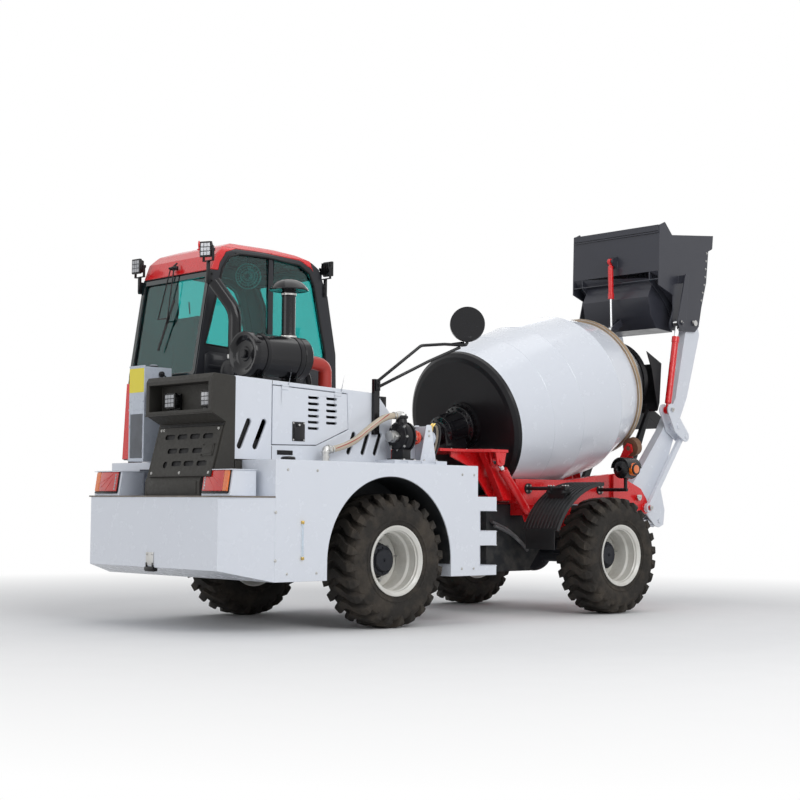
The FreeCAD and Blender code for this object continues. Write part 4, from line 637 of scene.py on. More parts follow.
def leaning(x, z, rise):
    """A frame on a rear-facing plate: X to the right, Y up the plate, Z out to the rear."""
    up = Vector((rise[0], 0, rise[1])).normalized()
    right = Vector((0, -1, 0))
    turn = Matrix((right, up, right.cross(up))).transposed().to_4x4()
    return Matrix.Translation(at(x, 0, z)) @ turn


def upright(x, y, z, heading):
    """A frame standing on a wall that faces heading degrees from +X: X to the right, Y up, Z out."""
    a = math.radians(heading)
    out = Vector((math.cos(a), math.sin(a), 0))
    up = Vector((0, 0, 1))
    turn = Matrix((up.cross(out), up, out)).transposed().to_4x4()
    return Matrix.Translation(at(x, y, z)) @ turn


def put(frame_of, x, y, z, turn=0.0):
    """A frame moved within its own axes and turned about its Z axis."""
    return frame_of @ Matrix.Translation((x, y, z)) @ Matrix.Rotation(turn, 4, "Z")


def outward(frame_of):
    """The way that a frame's Z axis points."""
    return frame_of.to_3x3() @ Vector((0, 0, 1))


def work_lamps(name, frames, wide, high, body):
    """Square working lamps: finned housings, and a reflector of nine cells in each."""
    shell, mirrors = bmesh.new(), bmesh.new()
    for f in frames:
        add_turned_block(shell, put(f, 0, 0, 0.022), (wide, high, 0.026), 0.006)
        add_turned_block(shell, put(f, 0, 0, 0.004), (wide * 0.86, high * 0.86, 0.02), 0.004)
        for i in range(5):
            fin = put(f, (i - 2) * wide * 0.18, 0, -0.012)
            add_turned_block(shell, fin, (0.004, high * 0.8, 0.022), 0.001)
        for side in (-1, 1):
            ear = put(f, side * (wide / 2 + 0.004), 0, 0.008)
            add_turned_block(shell, ear, (0.005, high * 0.5, 0.03), 0.001)
            way = f.to_3x3() @ Vector((side, 0, 0))
            add_bolt(shell, spot(f, side * (wide / 2 + 0.006), 0, 0.008), way, 0.007, 0.005)
        for row in (-1, 0, 1):
            for column in (-1, 0, 1):
                add_turned_block(mirrors, put(f, column * wide * 0.27, row * high * 0.27, 0.0355),
                                 (wide * 0.24, high * 0.24, 0.005), 0.002, 1)
    settle(shell, name + "_housings", LAMP_BLACK, body)
    settle(mirrors, name + "_reflectors", REFLECTOR, body)


def hose(name, points, radius, look, body):
    """A flexible hose that leaves the machine and goes back into it."""
    route = [at(*p) for p in points]
    run = mesh_from(pipe_curve(name + "_line", route, 0.0))
    curve = pipe_curve(name, route, radius)
    curve.materials.append(look)
    piece = bpy.data.objects.new(name, curve)
    bpy.context.scene.collection.objects.link(piece)
    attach(piece, body)
    return piece


def add_clamp(shape, place, way, radius, width=0.014):
    """A worm clamp: band, overlap and screw housing."""
    place, way = Vector(place), Vector(way).normalized()
    half = way * width / 2
    add_ring(shape, 0, width, radius, radius + 0.0016, place - half, way, 40)
    f = facing(place, way)
    add_turned_block(shape, put(f, radius + 0.005, 0, 0), (0.01, 0.026, width * 1.15), 0.002)
    add_bar(shape, spot(f, radius + 0.006, 0.012, 0), spot(f, radius + 0.006, 0.024, 0), 0.005, 6, edge=0.001)


def arc_outline(cx, cz, inner, outer, first, last, steps):
    """Outline of a bent strip in the XZ plane, angles in degrees from +X."""
    far, near = [], []
    for i in range(steps + 1):
        a = math.radians(first + (last - first) * i / steps)
        far.append((cx + outer * math.cos(a), cz + outer * math.sin(a)))
        near.append((cx + inner * math.cos(a), cz + inner * math.sin(a)))
    return far + near[::-1]


# ---------------------------------------------------------------- wheels
LUGS = 24


def tyre_piece(name, x, side):
    """Carcass with its bead and shoulder rings, and chevron lugs over the shoulders."""
    shape = bmesh.new()
    centre = at(x, side * TYRE_Y, AXLE_Z)
    half = [(0.0, 0.498), (0.09, 0.496), (0.15, 0.484), (0.178, 0.462), (0.189, 0.43), (0.192, 0.395),
            (0.189, 0.36), (0.182, 0.335), (0.186, 0.331), (0.186, 0.322), (0.178, 0.317), (0.170, 0.300),
            (0.167, 0.288), (0.164, 0.283), (0.150, 0.281), (0.150, 0.262)]
    profile = [(-s, r) for s, r in half[::-1]] + half[1:]
    add_turned(shape, profile + [profile[0]], centre, (0, 1, 0), steps=96)
    # one lug, drawn as a cross-section carried over the tread from shoulder to shoulder
    stations = [(-0.193, 0.052, 0.442, 0.012, 0.020), (-0.188, 0.050, 0.498, 0.030, 0.045),
                (-0.160, 0.044, 0.5275, 0.034, 0.047), (-0.105, 0.022, 0.5335, 0.036, 0.047),
                (-0.045, -0.030, 0.5372, 0.037, 0.047), (0.0, -0.050, 0.5375, 0.037, 0.047),
                (0.045, -0.030, 0.5372, 0.037, 0.047), (0.105, 0.022, 0.5335, 0.036, 0.047),
                (0.160, 0.044, 0.5275, 0.034, 0.047), (0.188, 0.050, 0.498, 0.030, 0.045),
                (0.193, 0.052, 0.442, 0.012, 0.020)]
    rows = []
    for across, lead, radius, top, foot in stations:
        ring = []
        deep = 0.478 if abs(across) < 0.17 else (0.455 if abs(across) < 0.19 else 0.425)
        inner = abs(across) - (0.0 if abs(across) < 0.17 else 0.03)
        for along, r, reach in ((-foot, deep, inner), (-top, radius, abs(across)), (top, radius, abs(across)),
                                (foot, deep, inner)):
            a = (lead + along) / AXLE_Z
            y = math.copysign(reach, across)
            ring.append(shape.verts.new(centre + Vector((-r * math.sin(a), y, r * math.cos(a)))))
        rows.append(ring)
    skin = [shape.faces.new((a[i], a[i + 1], b[i + 1], b[i]))
            for a, b in zip(rows, rows[1:]) for i in range(3)]
    skin += [shape.faces.new(rows[0]), shape.faces.new(rows[-1][::-1])]
    crown = once(e for f in skin for e in f.edges)
    crown = [e for e in crown if e.calc_face_angle(0.0) > 0.5 and len(e.link_faces) == 2]
    cut = round_off(shape, crown, 0.004)
    lug = once([*cut["faces"], *(f for f in skin if f.is_valid)])
    geom = once(v for f in lug for v in f.verts) + once(e for f in lug for e in f.edges) + lug
    bmesh.ops.spin(shape, geom=geom, cent=centre, axis=(0, 1, 0), angle=2 * math.pi, steps=LUGS,
                   use_duplicate=True, use_merge=False)
    bmesh.ops.remove_doubles(shape, verts=shape.verts, dist=0.00005)
    piece = settle(shape, name + "_tread", TYRE_BLACK, NODES[name]["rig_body"], sharp=28)
    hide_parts(name)


def rim_piece(name, x, side):
    """Rim barrel with rolled flanges and lock ring, disc, wheel nuts and the dark planetary hub."""
    out = Vector((0, side, 0))
    centre = at(x, 0, AXLE_Z)
    edge = TYRE_Y + 0.165
    shape = bmesh.new()
    barrel = [(edge - 0.333, 0.280), (edge - 0.333, 0.266), (edge - 0.327, 0.2575), (edge - 0.005, 0.2575),
              (edge - 0.001, 0.266), (edge + 0.001, 0.279), (edge + 0.007, 0.2845), (edge + 0.013, 0.2805),
              (edge + 0.013, 0.270), (edge + 0.006, 0.263), (edge - 0.004, 0.248), (edge - 0.020, 0.245),
              (edge - 0.026, 0.238), (edge - 0.034, 0.238), (edge - 0.040, 0.243), (edge - 0.100, 0.240),
              (edge - 0.118, 0.226), (edge - 0.190, 0.222), (edge - 0.215, 0.226), (edge - 0.325, 0.240),
              (edge - 0.333, 0.280)]
    add_turned(shape, barrel, centre, out, steps=96)
    disc = [(0.800, 0.0), (0.800, 0.226), (0.822, 0.229), (0.824, 0.215), (0.818, 0.196), (0.816, 0.150),
            (0.822, 0.142), (0.822, 0.0)]
    add_turned(shape, disc, centre, out, steps=64)
    body = NODES[name]["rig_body"]
    piece = settle(shape, name + "_pressed", RIM_PAINT, body)
    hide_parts(name)
    hub = bmesh.new()
    cover = [(0.815, 0.0), (0.815, 0.145), (0.832, 0.147), (0.836, 0.142), (0.838, 0.130), (0.905, 0.126),
             (0.912, 0.122), (0.918, 0.112), (0.918, 0.094), (0.936, 0.090), (0.944, 0.082), (0.946, 0.030),
             (0.948, 0.0)]
    add_turned(hub, cover, centre, out, steps=64)
    ring_of_bolts(hub, centre + out * 0.833, out, 0.137, 12, 0.0085, 0.012)
    ring_of_bolts(hub, centre + out * 0.918, out, 0.103, 12, 0.006, 0.006)
    add_bolt(hub, centre + out * 0.945, out, 0.014, 0.008)
    settle(hub, name.replace("rim", "hub"), AXLE_IRON, body)
    nuts = bmesh.new()
    ring_of_bolts(nuts, centre + out * 0.817, out, 0.172, 10, 0.013, 0.014)
    stem = facing(centre + out * 0.83, out) @ Vector((0.205, 0.03, 0))
    add_bar(nuts, stem, stem + out * 0.045, 0.0045, 10)
    settle(nuts, name.replace("rim", "wheel_nuts"), ZINC, body)


for end, x in (("rear", 0.0), ("front", FRONT_AXLE_X)):
    for word, side in (("right", RIGHT), ("left", LEFT)):
        tyre_piece(f"{end}_{word}_tyre", x, side)
        rim_piece(f"{end}_{word}_rim", x, side)


# ---------------------------------------------------------------- plate work: the CAD shape, edges rounded
for plate, width in (("rear_body", 0.004), ("rear_box", 0.003), ("tail_lamps", 0.006), ("hood_shell", 0.009),
                     ("hood_door", 0.003), ("rear_shroud", 0.006), ("cooler_box", 0.005),
                     ("rear_chassis", 0.004), ("rear_axle", 0.006), ("front_axle", 0.006),
                     ("front_chassis", 0.003), ("front_frame", 0.003), ("drum_cradle", 0.003),
                     ("charge_hopper", 0.002), ("loader_arms", 0.004), ("cranks", 0.003), ("tie_rods", 0.003),
                     ("bucket", 0.0025), ("bucket_gate", 0.002), ("lift_barrels", 0.003),
                     ("bucket_barrels", 0.003), ("gate_barrel", 0.002), ("cradle_barrels", 0.003),
                     ("steer_barrel", 0.003), ("cab_roof", 0.008), ("cab_shell", 0.006), ("cab_door", 0.006),
                     ("engine_block", 0.01), ("drum_track", 0.004), ("drum_gearbox", 0.003)):
    soften(plate, width)


# ---------------------------------------------------------------- rear box, lamps and grille
def make_rear_box_trim():
    """The rear box: the cut edge of its top plate, bolts and the towing eye."""
    shape = bmesh.new()
    low, high = 1.0285, 1.0405
    rim = [(-1.267, -1.1095), (-1.629, -0.8725), (-1.629, 0.8725), (-1.267, 1.1095)]
    for (x0, y0), (x1, y1) in zip(rim, rim[1:]):
        a, b = at(x0, y0, (low + high) / 2), at(x1, y1, (low + high) / 2)
        f = facing((a + b) / 2, b - a)
        wide = f.to_3x3() @ Vector((0, 1, 0))
        size = (0.0045, 0.0115, (b - a).length) if abs(wide.z) > 0.7 else (0.0115, 0.0045, (b - a).length)
        add_turned_block(shape, f, size, 0.001, 1)
    settle(shape, "box_plate_edge", RAW_EDGE, REAR)
    shape = bmesh.new()
    for side in (-1, 1):
        for z in (0.56, 0.92):
            add_bolt(shape, at(-1.262, side * 1.1085, z), (0, side, 0), 0.009, 0.006)
    add_block(shape, (-1.6245, -0.05, 0.50), (-1.6165, 0.05, 0.60), 0.002)
    for y in (-0.034, 0.034):
        add_bolt(shape, at(-1.6235, y, 0.585), (-1, 0, 0), 0.008, 0.005)
    settle(shape, "box_bolts", ZINC, REAR)
    shape = bmesh.new()
    add_bar(shape, at(-1.616, -0.055, 0.47), at(-1.616, 0.055, 0.47), 0.02, 24, edge=0.003)
    for y in (-0.042, 0.042):
        add_block(shape, (-1.628, y - 0.007, 0.452), (-1.58, y + 0.007, 0.52), 0.003)
    settle(shape, "tow_eye", SATIN_BLACK, REAR)


def make_tail_lenses():
    """Tail lamps: trays, red and amber lenses with raised bars, light cells and hoods."""
    red, amber, dark, white, cells = (bmesh.new() for _ in range(5))
    f = leaning(-1.5505, 1.045, (0.03, 0.194))
    add_turned_block(dark, put(f, 0.7425, 0.106, 0.003), (0.326, 0.176, 0.010), 0.003)
    add_turned_block(dark, put(f, 0.7425, 0.019, 0.009), (0.318, 0.015, 0.014), 0.004)
    add_turned_block(dark, put(f, 0.7425, 0.1935, 0.010), (0.322, 0.007, 0.02), 0.002)
    add_turned_block(red, put(f, 0.7125, 0.1075, 0.011), (0.252, 0.158, 0.014), 0.005, 3)
    add_turned_block(amber, put(f, 0.8705, 0.1075, 0.011), (0.06, 0.158, 0.014), 0.005, 3)
    for x0, y0, length, turn in ((0.735, 0.118, 0.2, -0.62), (0.755, 0.128, 0.19, -0.38),
                                 (0.70, 0.085, 0.13, -0.8)):
        add_turned_block(red, put(f, x0, y0, 0.0185, turn), (length, 0.007, 0.004), 0.0018, 2)
    for i in range(6):
        add_turned_block(cells, put(f, 0.612, 0.048 + i * 0.0225, 0.0185), (0.017, 0.017, 0.004), 0.003, 2)
    for i in range(5):
        add_turned_block(amber, put(f, 0.8705, 0.05 + i * 0.029, 0.0185), (0.05, 0.02, 0.003), 0.001, 1)
    add_block(white, (-1.546, -0.935, 1.2335), (-1.300, -0.552, 1.2405), 0.0025)
    for part in (red, amber, dark, white, cells):
        both_sides(part)
    settle(dark, "tail_lamp_trays", LAMP_BLACK, REAR)
    settle(red, "tail_lenses", LENS_RED, REAR)
    settle(amber, "turn_lenses", LENS_AMBER, REAR)
    settle(cells, "tail_lens_cells", REFLECTOR, REAR)
    settle(white, "tail_lamp_hoods", WHITE, REAR)


def make_grille():
    """The rear shroud: the slotted grille, its frame and screws, and the lamps in its recess."""
    f = leaning(-1.490, 1.39, (0.113, 0.412))
    # A near-black sheet just behind the slots: painted shade seen through the grille openings.
    back = bmesh.new()
    add_turned_block(back, put(f, 0.28, 0.0, 0.0015), (0.80, 0.40, 0.003), 0.001, 1)
    settle(back, "grille_painted_shade_sheet", RUBBER, REAR)
    rim = [(-0.122, -0.208), (0.683, -0.208), (0.683, 0.186), (-0.122, 0.186)]
    rows = ((0.108, (0.043, 0.207, 0.372, 0.541)), (-0.007, (0.118, 0.268, 0.445)))
    holes = [slot_outline(x - 0.044, y, x + 0.044, y, 0.0205)[::-1] for y, row in rows for x in row]
    holes.append(slot_outline(0.063, -0.118, 0.0631, -0.118, 0.027, 12)[::-1])
    holes += [slot_outline(x - 0.044, -0.11, x + 0.044, -0.11, 0.0205)[::-1] for x in (0.212, 0.372, 0.541)]
    flat_with_holes("rear_grille", [rim] + holes, put(f, 0, 0, 0.012), 0.004, CHARCOAL, REAR, 0.0008)
    frame_shape = bmesh.new()
    for x in (-0.124, 0.685):
        add_turned_block(frame_shape, put(f, x, -0.011, 0.009), (0.006, 0.40, 0.016), 0.002)
    add_turned_block(frame_shape, put(f, 0.28, -0.211, 0.009), (0.812, 0.006, 0.016), 0.002)
    add_turned_block(frame_shape, put(f, 0.582, -0.004, 0.0185), (0.148, 0.098, 0.004), 0.0015)
    add_turned_block(frame_shape, put(f, 0.582, -0.004, 0.0215), (0.118, 0.07, 0.004), 0.0015)
    for x in (0.516, 0.648):
        for y in (-0.046, 0.038):
            add_bolt(frame_shape, spot(f, x, y, 0.0205), outward(f), 0.006, 0.004)
    settle(frame_shape, "grille_frame", CHARCOAL, REAR)
    gap = bmesh.new()
    add_turned_block(gap, put(f, 0.28, 0.2005, 0.006), (0.83, 0.021, 0.012), 0.003)
    settle(gap, "grille_gap", RUBBER, REAR)
    screws = bmesh.new()
    out = outward(f)
    for x, y in ((-0.095, 0.165), (-0.06, 0.165), (0.655, 0.165), (-0.095, -0.185), (0.655, -0.185),
                 (0.28, -0.185)):
        add_bolt(screws, spot(f, x, y, 0.016), out, 0.008, 0.005)
    settle(screws, "grille_screws", ZINC, REAR)
    apron = bmesh.new()
    add_block(apron, (-1.5695, -0.52, 1.052), (-1.5655, 0.14, 1.158), 0.0015)
    add_block(apron, (-1.574, -0.705, 1.662), (-1.560, 0.171, 1.671), 0.003)
    settle(apron, "shroud_apron", CHARCOAL, REAR)
    places = (-0.075, -0.555)
    work_lamps("recess_lamp", [upright(-1.478, y, 1.782, 180) for y in places], 0.145, 0.125, REAR)
    stand = bmesh.new()
    for y in places:
        add_block(stand, (-1.485, y - 0.08, 1.691), (-1.442, y + 0.08, 1.716), 0.004)
        add_block(stand, (-1.460, y - 0.07, 1.71), (-1.442, y + 0.07, 1.84), 0.003)
        add_bolt(stand, at(-1.486, y, 1.703), (-1, 0, 0), 0.007, 0.005)
    settle(stand, "recess_lamp_stands", LAMP_BLACK, REAR)


make_rear_box_trim()
make_tail_lenses()
make_grille()


# ---------------------------------------------------------------- hood: liner, seams, latch, vent
def make_hood_trim():
    """The hood: its liner, seams, latch, small vent and louvre lips."""
    liner = bmesh.new()
    add_block(liner, (-1.315, -0.668, 1.33), (0.255, -0.662, 1.885), 0.002)
    add_block(liner, (0.205, -0.65, 1.33), (0.211, 0.04, 1.70), 0.002)
    for i in range(30):
        x = -1.29 + i * 0.052
        add_block(liner, (x, -0.671, 1.34), (x + 0.008, -0.667, 1.875), 0.001, 1)
    settle(liner, "hood_sound_liner", RUBBER, REAR)
    seams = bmesh.new()
    for z0, z1 in ((1.320, 1.434), (1.918, 1.944)):
        add_block(seams, (-0.9875, -0.7012, z0), (-0.9825, -0.6995, z1), 0.0006, 1)
    for x, top in ((-1.344, 1.95), (0.2895, 1.70)):
        add_block(seams, (x - 0.002, -0.7015, 1.322), (x + 0.002, -0.6995, top), 0.0006, 1)
    add_block(seams, (-1.34, -0.7045, 1.3165), (0.285, -0.699, 1.3235), 0.002)
    settle(seams, "hood_seals", RUBBER, REAR)
    latch = bmesh.new()
    f = upright(-0.717, -0.7005, 1.555, -90)
    add_turned_block(latch, put(f, 0, 0, 0.002), (0.128, 0.153, 0.006), 0.003)
    add_turned_block(latch, put(f, 0, -0.012, 0.007), (0.098, 0.10, 0.008), 0.003)
    add_turned_block(latch, put(f, 0, 0.052, 0.007), (0.05, 0.026, 0.008), 0.003)
    settle(latch, "hood_latch", GLOSS_BLACK, "hood_door_leaf")
    key = bmesh.new()
    out = outward(f)
    add_bar(key, spot(f, 0, 0.052, 0.008), spot(f, 0, 0.052, 0.0145), 0.009, 20, edge=0.001)
    for x in (-0.054, 0.054):
        for y in (-0.066, 0.066):
            add_bolt(key, spot(f, x, y, 0.005), out, 0.005, 0.003)
    settle(key, "hood_latch_key", ZINC, "hood_door_leaf")
    vent = bmesh.new()
    f = upright(-0.853, -0.7005, 1.385, -90)
    add_turned_block(vent, put(f, 0, 0, 0.002), (0.156, 0.036, 0.006), 0.003)
    for i in range(7):
        add_turned_block(vent, put(f, -0.06 + i * 0.02, 0, 0.0055), (0.008, 0.024, 0.003), 0.001, 1)
    settle(vent, "hood_small_vent", RUBBER, REAR)
    lips = bmesh.new()
    for x, count in ((-0.62, 6), (-0.43, 5)):
        for row in range(count):
            z = 1.832 - row * 0.049
            f = put(upright(x + 0.0575, -0.7, z + 0.0125, -90), 0, 0, 0.003)
            add_turned_block(lips, f @ Matrix.Rotation(0.5, 4, "X"), (0.106, 0.003, 0.014), 0.001, 2)
    settle(lips, "hood_louvre_lips", WHITE, "hood_door_leaf")


def make_deck_trim():
    """Arch liners painted near-black, partly a dark plate and partly painted shade inside the arches; step
    treads, skirt bolts, the sight gauge and the filler cap.
    """
    # The arch liners and the inboard walls of the arches are near-black: partly a real dark plate, partly
    # painted shade where the arch lies in shadow.
    arches = bmesh.new()
    arch = (-0.080, AXLE_Z)
    for side in (-1, 1):
        side_plate(arches, arc_outline(*arch, 0.666, 0.6705, -3, 183, 44), side * 0.695, side * 1.100)
        y = side * 0.6935
        side_plate(arches, arc_outline(*arch, 0.30, 0.669, 5, 175, 40), y, y + side * 0.004)
    settle(arches, "arch_liners_and_painted_shade", CHASSIS, REAR)
    for side in (-1, 1):
        for z in (0.480, 0.770):
            x0, x1, y0, y1 = 0.937, 1.139, 0.925, 1.104
            rim = [(x0, y0 * side), (x1, y0 * side), (x1, y1 * side), (x0, y1 * side)]
            rim = rim if side > 0 else rim[::-1]
            holes = []
            for i in range(5):
                for j in range(4):
                    cx, cy = 0.962 + i * 0.038, side * (0.948 + j * 0.044)
                    holes.append(slot_outline(cx, cy, cx + 0.0001, cy, 0.0085, 6)[::-1])
            flat_with_holes(f"step_tread_{'left' if side > 0 else 'right'}_{int(z * 1000)}", [rim] + holes,
                            Matrix.Translation(at(0, 0, z + 0.001)), 0.004, WHITE, REAR, 0.0006)
    rims = bmesh.new()
    for side in (-1, 1):
        for z in (0.474, 0.764, 0.648, 0.938):
            add_block(rims, (1.128, side * 0.918, z), (1.1435, side * 1.1095, z + 0.008), 0.002)
    settle(rims, "step_edges", WHITE, REAR)
    bolts = bmesh.new()
    for side in (-1, 1):
        for x in (-1.15, -0.86, 0.72, 0.86):
            for z in (0.46, 1.24):
                add_bolt(bolts, at(x, side * 1.1085, z), (0, side, 0), 0.008, 0.005)
    settle(bolts, "skirt_bolts", ZINC, REAR)
    gauge = bmesh.new()
    add_bar(gauge, at(-1.007, -1.118, 0.585), at(-1.007, -1.118, 0.835), 0.0065, 16)
    settle(gauge, "sight_gauge_tube", CLEAR, REAR)
    ends = bmesh.new()
    for z in (0.574, 0.846):
        add_block(ends, (-1.018, -1.127, z - 0.012), (-0.996, -1.107, z + 0.012), 0.004)
        add_bolt(ends, at(-1.007, -1.125, z), (0, -1, 0), 0.006, 0.004)
    settle(ends, "sight_gauge_ends", BRASS, REAR)
    caps = bmesh.new()
    add_turned(caps, [(0, 0), (0, 0.052), (0.006, 0.056), (0.022, 0.056), (0.030, 0.048), (0.034, 0.0)],
               at(-0.98, -0.9, 1.317), (0, 0, 1), 40)
    for i in range(3):
        a = i * THIRD_TURN
        grip = at(-0.98 + 0.05 * math.cos(a), -0.9 + 0.05 * math.sin(a), 1.333)
        add_turned_block(caps, facing(grip, (0, 0, 1), a), (0.022, 0.016, 0.018), 0.005)
    settle(caps, "tank_filler_cap", SATIN_BLACK, REAR)


make_hood_trim()
make_deck_trim()


# ---------------------------------------------------------------- cab trim
def between(value, table):
    """The result for a value, read off a table of (value, result) along straight lines."""
    for (a, ra), (b, rb) in zip(table, table[1:]):
        if value <= b:
            break
    return ra + (rb - ra) * (value - a) / (b - a)


# The rear pane's foot and slope, the front face's (z, x), and the panes' outlines as (x, z).
REAR_PANE = (-1.125, 2.01, (0.14, 0.89))
FRONT_FACE = [(1.345, 0.392), (2.02, 0.392), (2.3, 0.385), (2.8, 0.285), (3.03, 0.18)]
SIDE_WINDOW = [(-1.03, 2.285), (-0.985, 2.45), (-0.862, 2.93), (-0.8, 3.025), (-0.69, 3.066), (-0.4, 3.07),
               (-0.04, 3.045), (0.07, 2.985), (0.125, 2.88), (0.262, 2.29), (0.262, 2.18), (-0.33, 2.24)]
DOOR_WINDOW = [(-0.64, 2.08), (-0.64, 2.935), (-0.48, 2.975), (-0.08, 2.95), (-0.005, 2.91), (0.045, 2.825),
               (0.19, 2.225), (0.19, 1.76), (-0.2, 1.76), (-0.33, 2.08)]


def bead(name, loops, radius, look, body):
    """A round rubber bead round each closed loop of places."""
    curve = bpy.data.curves.new(name, "CURVE")
    curve.dimensions = "3D"
    curve.bevel_depth = radius
    curve.bevel_resolution = 2
    for loop in loops:
        add_spline(curve, loop)
    return keep(mesh_from(curve), name, [look], body, 60)


def make_cab_glazing():
    """Window seals, the border of the rear pane and the panels below the windows."""
    bead("side_window_seal", [[at(x, 0.131, z) for x, z in SIDE_WINDOW]], 0.011, RUBBER, REAR)
    bead("door_window_seal", [[at(x, 1.1, z) for x, z in DOOR_WINDOW]], 0.009, RUBBER, "cab_door_leaf")
    f = leaning(*REAR_PANE)
    outer = round_box(-1.092, 0.006, -0.138, 0.888, 0.05)
    inner = round_box(-1.054, 0.043, -0.176, 0.848, 0.03)[::-1]
    flat_with_holes("rear_pane_border", [outer, inner], put(f, 0, 0, 0.0005), 0.006,
                    PANE_EDGE, REAR, 0.0015)
    front = []
    for z, y in ((1.72, 0.21), (1.72, 1.02), (2.02, 1.02), (2.3, 1.02), (2.8, 1.02), (2.96, 1.02),
                 (2.96, 0.21), (2.8, 0.21), (2.3, 0.21), (2.02, 0.21)):
        front.append(at(between(z, FRONT_FACE) + 0.001, y, z))
    bead("front_window_seal", [front], 0.011, RUBBER, REAR)
    shape = bmesh.new()
    side_plate(shape, [(-1.035, 1.9), (-1.035, 2.2), (-0.98, 2.228), (-0.35, 2.19), (0.3, 2.135), (0.33, 2.1),
                       (0.33, 1.9)], 0.131, 0.122, 0.005)
    side_plate(shape, [(-1.0, 2.12), (-0.6, 2.105), (-0.54, 2.085), (-0.54, 2.075), (-1.0, 2.09)],
               0.123, 0.115, 0.003)
    for i in range(3):
        x = -0.14 + i * 0.075
        side_plate(shape, [(x, 1.92), (x, 2.02), (x + 0.03, 2.075), (x + 0.1, 2.1), (x + 0.11, 2.09),
                           (x + 0.045, 2.065), (x + 0.02, 2.02), (x + 0.02, 1.92)], 0.123, 0.113, 0.003)
    settle(shape, "cab_side_panel", CAB_FRAME, REAR)
    shape = bmesh.new()
    side_plate(shape, [(-1.168, 1.352), (-1.134, 2.0), (-0.99, 2.0), (-0.94, 1.93), (-0.73, 1.93),
                       (-0.73, 1.352)], 1.0985, 1.1055, 0.003)
    f = leaning(-1.16, 1.345, (0.035, 0.665))
    flat_with_holes("cab_corner_panel", [round_box(-1.104, 0.008, -0.93, 0.655, 0.006)],
                    f, 0.007, RED, REAR, 0.0015)
    settle(shape, "cab_lower_panel", RED, REAR)


def make_wiper():
    """The rear wiper, with its motor, two arms and blade."""
    f = leaning(*REAR_PANE)
    shape = bmesh.new()
    add_turned_block(shape, put(f, -0.63, 0.962, 0.02), (0.085, 0.03, 0.026), 0.004)
    for x in (-0.605, -0.655):
        add_bar(shape, spot(f, x, 0.955, 0.0), spot(f, x, 0.955, 0.05), 0.011, 16, edge=0.002)
        add_bolt(shape, spot(f, x, 0.955, 0.05), outward(f), 0.007, 0.006)
    add_bar(shape, spot(f, -0.63, 0.975, 0.03), spot(f, -0.63, 1.01, 0.0), 0.008, 12)
    for x, end in ((-0.655, -0.735), (-0.605, -0.6)):
        add_bar(shape, spot(f, x, 0.955, 0.04), spot(f, end, 0.52, 0.034), 0.0055, 10)
    add_bar(shape, spot(f, -0.742, 0.52, 0.034), spot(f, -0.594, 0.52, 0.034), 0.006, 10)
    add_bar(shape, spot(f, -0.6, 0.52, 0.034), spot(f, -0.625, 0.47, 0.024), 0.006, 10)
    top, low = spot(f, -0.56, 0.68, 0.019), spot(f, -0.69, 0.25, 0.019)
    add_bar(shape, top, low, 0.006, 10)
    blade = facing((top + low) / 2, low - top)
    add_turned_block(shape, blade, (0.008, 0.02, (low - top).length), 0.001, 1)
    for s in (-0.3, -0.1, 0.1, 0.3):
        add_turned_block(shape, blade @ Matrix.Translation((0, 0, s * 0.6)), (0.016, 0.02, 0.014), 0.002, 1)
    settle(shape, "rear_wiper", SATIN_BLACK, REAR)


def make_cab_lamps():
    """Working lamps at the four corners of the roof, their brackets, and the lifting eyes."""
    places = [((-1.03, 1.112, 3.023), 186), ((-1.025, 0.125, 3.06), 205), ((0.262, 0.125, 3.045), 5),
              ((0.262, 1.112, 3.045), -5)]
    work_lamps("cab_work_lamp", [upright(*place, heading) for place, heading in places], 0.108, 0.13, REAR)
    shape = bmesh.new()
    for (x, y, z), heading in places:
        back = -1 if x > 0 else 1
        yoke = x + back * 0.012
        add_block(shape, (yoke - 0.02, y - 0.066, z - 0.012), (yoke + 0.02, y - 0.0615, z + 0.012), 0.001, 1)
        add_block(shape, (yoke - 0.02, y + 0.0615, z - 0.012), (yoke + 0.02, y + 0.066, z + 0.012), 0.001, 1)
        for dy in (-0.064, 0.064):
            add_block(shape, (yoke - 0.012, y + dy - 0.0025, z - 0.09), (yoke + 0.012, y + dy + 0.0025, z),
                      0.001, 1)
        add_block(shape, (yoke - 0.014, y - 0.066, z - 0.094), (yoke + 0.014, y + 0.066, z - 0.087),
                  0.0015, 1)
        wall = 0.13 if y < 0.6 else 1.10
        out = -1 if y < 0.6 else 1
        foot = 2.86 if x < 0 else 2.87
        add_block(shape, (yoke - 0.012, y - 0.012, foot - 0.06), (yoke + 0.012, y + 0.012, z - 0.09), 0.002)
        post = -0.985 if x < 0 else 0.245
        low, high = sorted((post, yoke))
        add_block(shape, (low - 0.018, min(wall, wall + out * 0.012), foot - 0.075),
                  (high + 0.012, max(wall, wall + out * 0.012), foot + 0.03), 0.003)
        for dz in (-0.05, 0.005):
            add_bolt(shape, at(post + 0.006 * back, wall + out * 0.012, foot + dz), (0, out, 0), 0.008, 0.006)
    settle(shape, "cab_lamp_brackets", SATIN_BLACK, REAR)
    shape = bmesh.new()
    for x, z in ((-0.03, 3.129), (-0.8, 3.13)):
        add_bar(shape, at(x, 0.55, z), at(x, 0.55, z + 0.03), 0.008, 16)
        add_bar(shape, at(x, 0.55, z + 0.004), at(x, 0.55, z + 0.012), 0.018, 6, edge=0.002)
        add_wire_ring(shape, 0, 0.024, 0.007, 8, at(x, 0.55, z + 0.052), (0.7, -0.7, 0), 28)
    settle(shape, "lifting_eyes", RED, REAR)


